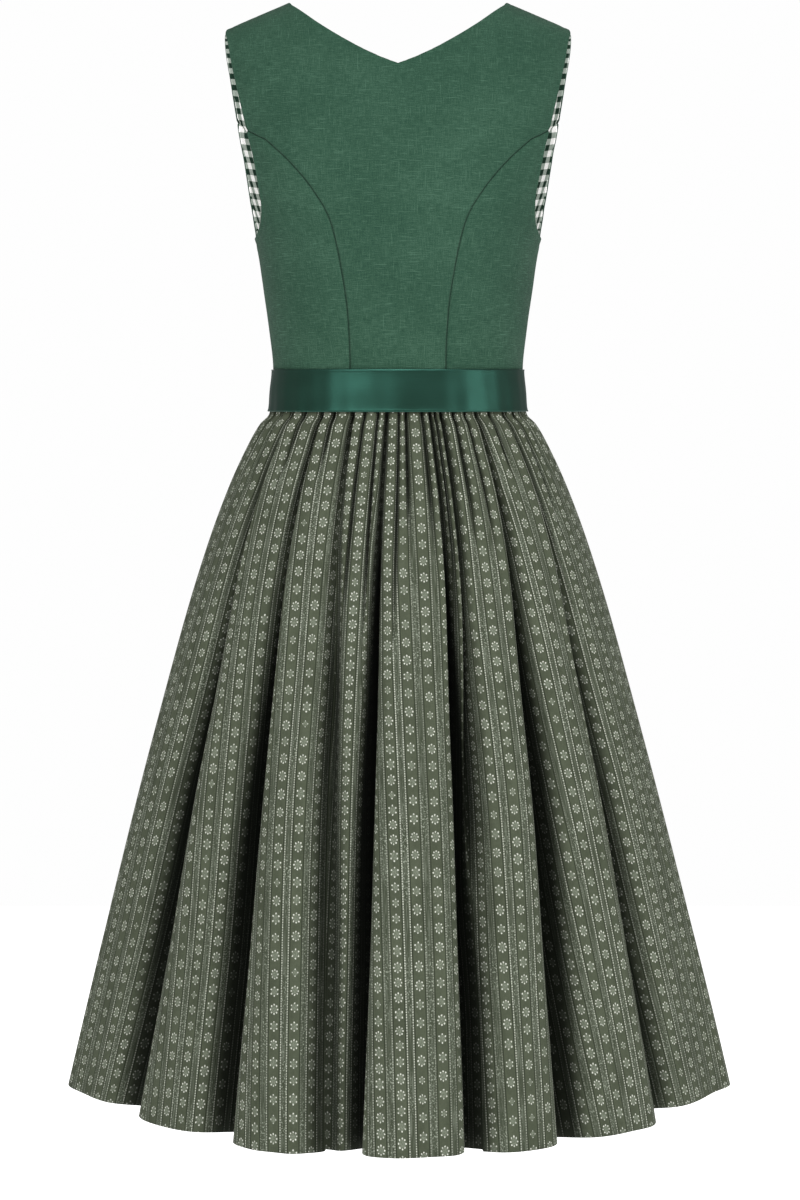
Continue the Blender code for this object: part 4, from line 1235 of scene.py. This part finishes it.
# print: plain strips with a column of flowers, parted by flecked bands with dotted edges. A flower
# is a ring of dots in polar coordinates, folded into four, six or eight equal sectors
def cottonMaterial(name, isReverse):
    finish = printFinish
    material, bench = clothMaterial(name)
    weave, slub, _ = placeWoven(bench, finish)
    turns = bench.across / finish["pitch"]
    column = turns.apply("FLOOR")
    x = (turns.apply("FRACT") - 0.5) * finish["pitch"]
    fromBand = finish["pitch"] / 2 - x.apply("ABSOLUTE")

    wear = bench.noise(420.0, 300.0, 2.0, 0.6, turn=2.0)
    streak = bench.noise(950.0, 34.0, 2.0, 0.7, turn=7.0)
    speck = bench.noise(850.0, 620.0, 1.0, 0.6, turn=4.0)
    dots = bench.noise(640.0, 520.0, turn=19.0)
    slow = bench.noise(60.0, 18.0, 2.0, turn=11.0)

    ground = bench.mix((slow + wear * 0.5).spread(0.55, 0.95), finish["groundDark"], finish["ground"])
    flecks = dots.spread(0.55, 0.66) * slow.spread(0.38, 0.58)
    fleck = streak.spread(0.46, 0.66, 0.0, 0.34).apply("MAXIMUM", flecks)
    band = bench.mix(fleck, finish["band"], finish["fleck"])
    colour = bench.mix(fromBand.fall(finish["bandHalf"], finish["bandHalf"] + 0.0004), ground, band)

    def lineAt(name, softness):
        half = finish[name + "Half"]
        return (fromBand - finish[name]).apply("ABSOLUTE").fall(0.5 * half, softness * half)

    repeat = finish["edgeDots"]
    bead = (bench.down + wear * 0.0012).apply("PINGPONG", repeat / 2)
    beads = bead.fall(0.16 * repeat, 0.38 * repeat).spread(0.0, 1.0, 0.12, 1.0)
    side = x.apply("GREATER_THAN", 0.0)
    boldness = bench.chance(column + side * 0.37, 3.0).spread(0.0, 1.0, 0.10, 0.90)
    line = lineAt("edgeLine", 1.3) * beads * (boldness * wear.spread(0.30, 0.60, 0.45, 1.0))

    drift = bench.noise(3.7, 28.0, turn=1.0, across=column)
    repeat = finish["flowerRepeat"]
    spacing = bench.chance(column, 7.0).spread(0.0, 1.0, 0.92 * repeat, 1.18 * repeat)
    rows = (bench.down + drift * finish["flowerDrift"]) / spacing + bench.chance(column, 5.0)
    flower = rows.apply("FLOOR")
    y = (rows.apply("FRACT") - 0.5) * spacing
    small = bench.chance(column, flower).apply("LESS_THAN", finish["smallShare"])
    size = bench.chance(column + 0.5, flower).spread(0.0, 1.0, 0.92, 1.06) * (1.0 - small * 0.24)
    flowerX = x / size
    flowerY = y / size / finish["flowerTall"]
    distance = distanceOf(flowerX, flowerY)
    full = bench.chance(flower, column).apply("LESS_THAN", finish["fullShare"])
    petals = 6.0 + (full - small) * 2.0
    folded = flowerX.apply("ARCTAN2", flowerY).apply("PINGPONG", 2.0 * math.pi / petals / 2.0)
    along = distance * folded.apply("COSINE") - finish["petalRing"]
    fromPetal = distanceOf(along, distance * folded.apply("SINE"))
    fromPetal = fromPetal + speck.spread(0.3, 0.7, -0.00018, 0.00028)
    petal = fromPetal.fall(0.55 * finish["petalRadius"], 1.15 * finish["petalRadius"])
    fromHeart = distance + speck.spread(0.3, 0.7, -0.0007, 0.0007)
    heart = fromHeart.fall(0.75 * finish["heartRadius"], 1.35 * finish["heartRadius"])
    layers = ((lineAt("darkLine", 1.6) * 0.8, "dark"), (line, "line"),
              (heart * speck.spread(0.35, 0.62, 0.35, 1.0), "heart"),
              (petal * wear.spread(0.28, 0.58, 0.58, 1.0), "petal"))
    for share, name in layers:
        colour = bench.mix(share, colour, finish[name])

    tone = slub * 1.1 + weave * 0.08
    colour = bench.shade(colour, tone.spread(-0.35, 0.35), 0.74)
    if isReverse:
        colour = bench.mix(finish["reverseShare"], finish["reverse"], colour)
    else:
        # painted shade: the print is darkened towards the deep colour in the folds and pleats
        colour = bench.mix(bench.pointValue("hollow") * finish["paintedShadeShare"], colour, finish["deep"])
    finishShader(bench, slub * 0.8 + weave * 0.3, finish["bump"], {
        "Base Color": colour,
        "Roughness": tone.spread(-0.35, 0.35, 0.93, 0.80),
        "Specular IOR Level": 0.05,
        "Sheen Weight": finish["sheen"],
    })
    return material


linen = linenMaterial()
gingham = ginghamMaterial()
satin = satinMaterial()
cotton = cottonMaterial("printedCotton", False)
cottonReverse = cottonMaterial("printedCottonReverse", True)
print("materials made")

# flat sizes of the cut in metres, and the area in square metres of the shape that is cut from each
cutColumns = ("name", "width", "length", "area")
panelCuts = (
    ("back_panel", 0.455, 0.395, 0.0802),
    ("back_side_left", 0.157, 0.31, 0.0282),
    ("back_side_right", 0.157, 0.31, 0.0282),
    ("front_side_left", 0.15, 0.334, 0.0285),
    ("front_side_right", 0.15, 0.334, 0.0285),
    ("front_centre_left", 0.198, 0.489, 0.0401),
    ("front_centre_right", 0.198, 0.489, 0.0401),
)
skirtCuts = (
    ("skirt_left", 0.76, 0.748, 0.411),
    ("skirt_back", 0.67, 0.748, 0.4),
    ("skirt_right", 0.776, 0.748, 0.414),
    ("skirt_front", 0.7, 0.748, 0.398),
)


# the piece moves with the dress and stands for its node
def declare(piece, node):
    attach(piece, "root")
    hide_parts(node)


outside = panelShapes(linenValues["step"])
inside = panelShapes(liningValues["step"])
for cut in namedRows(cutColumns, panelCuts):
    node = cut["name"]
    panel = panelPiece(node + "_cloth", outside[node], linenValues, linen)
    lining = panelPiece("lining_" + node + "_cloth", inside[node], liningValues, gingham)
    declare(panel, node)
    declare(lining, "lining_" + node)
print("bodice and lining made")

skirtWidths = skirtPieces(skirtValues["seams"], cotton, cottonReverse)
for cut in namedRows(cutColumns, skirtCuts):
    piece = skirtWidths[cut["name"]]
    declare(piece, cut["name"])
print("skirt made")

ribbon = ribbonPiece("waist_ribbon_cloth", satin)
declare(ribbon, "waist_ribbon")
print("ribbon made")

studioValues = {
    "floorLevel": -1.62,
    "floorSize": 9.0,
    "floorColours": ((0.90, 0.90, 0.895), (0.93, 0.93, 0.925)),
    "floorGlows": ((0.98, 0.98, 0.975), (1.0, 1.0, 1.0)),
    "floorGlow": 0.85,
    "skyLight": 0.27,  # strength of the even light from all round
    "skyBrightness": 0.99,  # and of the sky itself as the camera sees it
    "cameraDistance": 3.4,
    "cameraHeight": -0.384,
    "sensor": 36.0,
    "metresPerPixel": 0.00103,  # at the middle of the dress, in a frame of 800 by 1200 pixels
    "frameWidth": 800,
    "frameHeight": 1200,
    "horizonPixel": 390,
    "middlePixel": 398,
}
# soft lamps: name, place, size across and up, power, and the height on the z axis they are turned to
lampColumns = ("name", "x", "y", "z", "width", "height", "power", "aim")
lampRows = (
    ("axis", 0.0, -2.9, 2.3, 1.8, 0.9, 67.0, -0.5),
    ("overhead", 0.0, -1.6, 2.4, 2.2, 1.6, 20.0, -0.5),
    ("leftKey", -0.95, -2.05, 0.42, 0.55, 1.6, 16.0, -0.45),
    ("rightKey", 1.85, -1.32, 0.0, 0.44, 1.5, 15.0, -0.45),
    ("frontFill", 0.0, 3.0, 0.8, 2.4, 1.8, 30.0, -0.5),
)


# pale floor: two near whites mixed by broad noise
def floorMaterial():
    values = studioValues
    material, bench = newMaterial("paleFloor")
    place = bench.made("ShaderNodeTexCoord", {}, "Object")
    share = bench.made("ShaderNodeTexNoise", {"Vector": place, "Scale": 1.5}).spread(0.3, 0.7)
    bench.fill(bench.tree.nodes["Principled BSDF"].inputs, {
        "Base Color": bench.mix(share, *values["floorColours"]),
        "Emission Color": bench.mix(share, *values["floorGlows"]),
        "Emission Strength": values["floorGlow"],
        "Roughness": 0.9,
    })
    return material


def makeFloor():
    half = studioValues["floorSize"] / 2
    level = studioValues["floorLevel"]
    mesh = bpy.data.meshes.new("floor")
    corners = [(-half, -half, level), (half, -half, level), (half, half, level), (-half, half, level)]
    mesh.from_pydata(corners, [], [(0, 1, 2, 3)])
    mesh.materials.append(floorMaterial())
    addObject("floor", mesh)


def makeLamps():
    for lamp in namedRows(lampColumns, lampRows):
        light = bpy.data.lights.new(lamp["name"], "AREA")
        light.shape = "RECTANGLE"
        light.size = lamp["width"]
        light.size_y = lamp["height"]
        light.energy = lamp["power"]
        holder = addObject(lamp["name"], light)
        holder.location = (lamp["x"], lamp["y"], lamp["z"])
        away = Vector((0.0, 0.0, lamp["aim"])) - Vector((lamp["x"], lamp["y"], lamp["z"]))
        holder.rotation_euler = away.to_track_quat("-Z", "Y").to_euler()


# the sky is white where the camera sees it, and lights the dress with skyLight
def makeSky():
    world = bpy.data.worlds.new("studio")
    scene.world = world
    world.use_nodes = True
    bench = NodeBench(world.node_tree)
    seen = bench.made("ShaderNodeLightPath", {}, "Is Camera Ray")
    bench.fill(world.node_tree.nodes["Background"].inputs, {
        "Strength": seen.spread(0.0, 1.0, studioValues["skyLight"], studioValues["skyBrightness"]),
        "Color": (1.0, 1.0, 1.0),
    })


def makeCamera():
    values = studioValues
    frameHeight = values["frameHeight"]
    camera = bpy.data.cameras.new("camera")
    camera.sensor_fit = "VERTICAL"
    camera.sensor_height = values["sensor"]
    camera.lens = values["sensor"] * values["cameraDistance"] / (frameHeight * values["metresPerPixel"])
    camera.shift_x = (values["frameWidth"] / 2 - values["middlePixel"]) / frameHeight
    camera.shift_y = (values["horizonPixel"] - frameHeight / 2) / frameHeight
    camera.clip_end = 60.0
    scene.camera = addObject("camera", camera)
    scene.camera.location = (0.0, -values["cameraDistance"], values["cameraHeight"])
    scene.camera.rotation_euler = (math.pi / 2, 0.0, 0.0)


makeFloor()
makeLamps()
makeSky()
makeCamera()
scene.view_settings.view_transform = "Standard"
print("studio made")
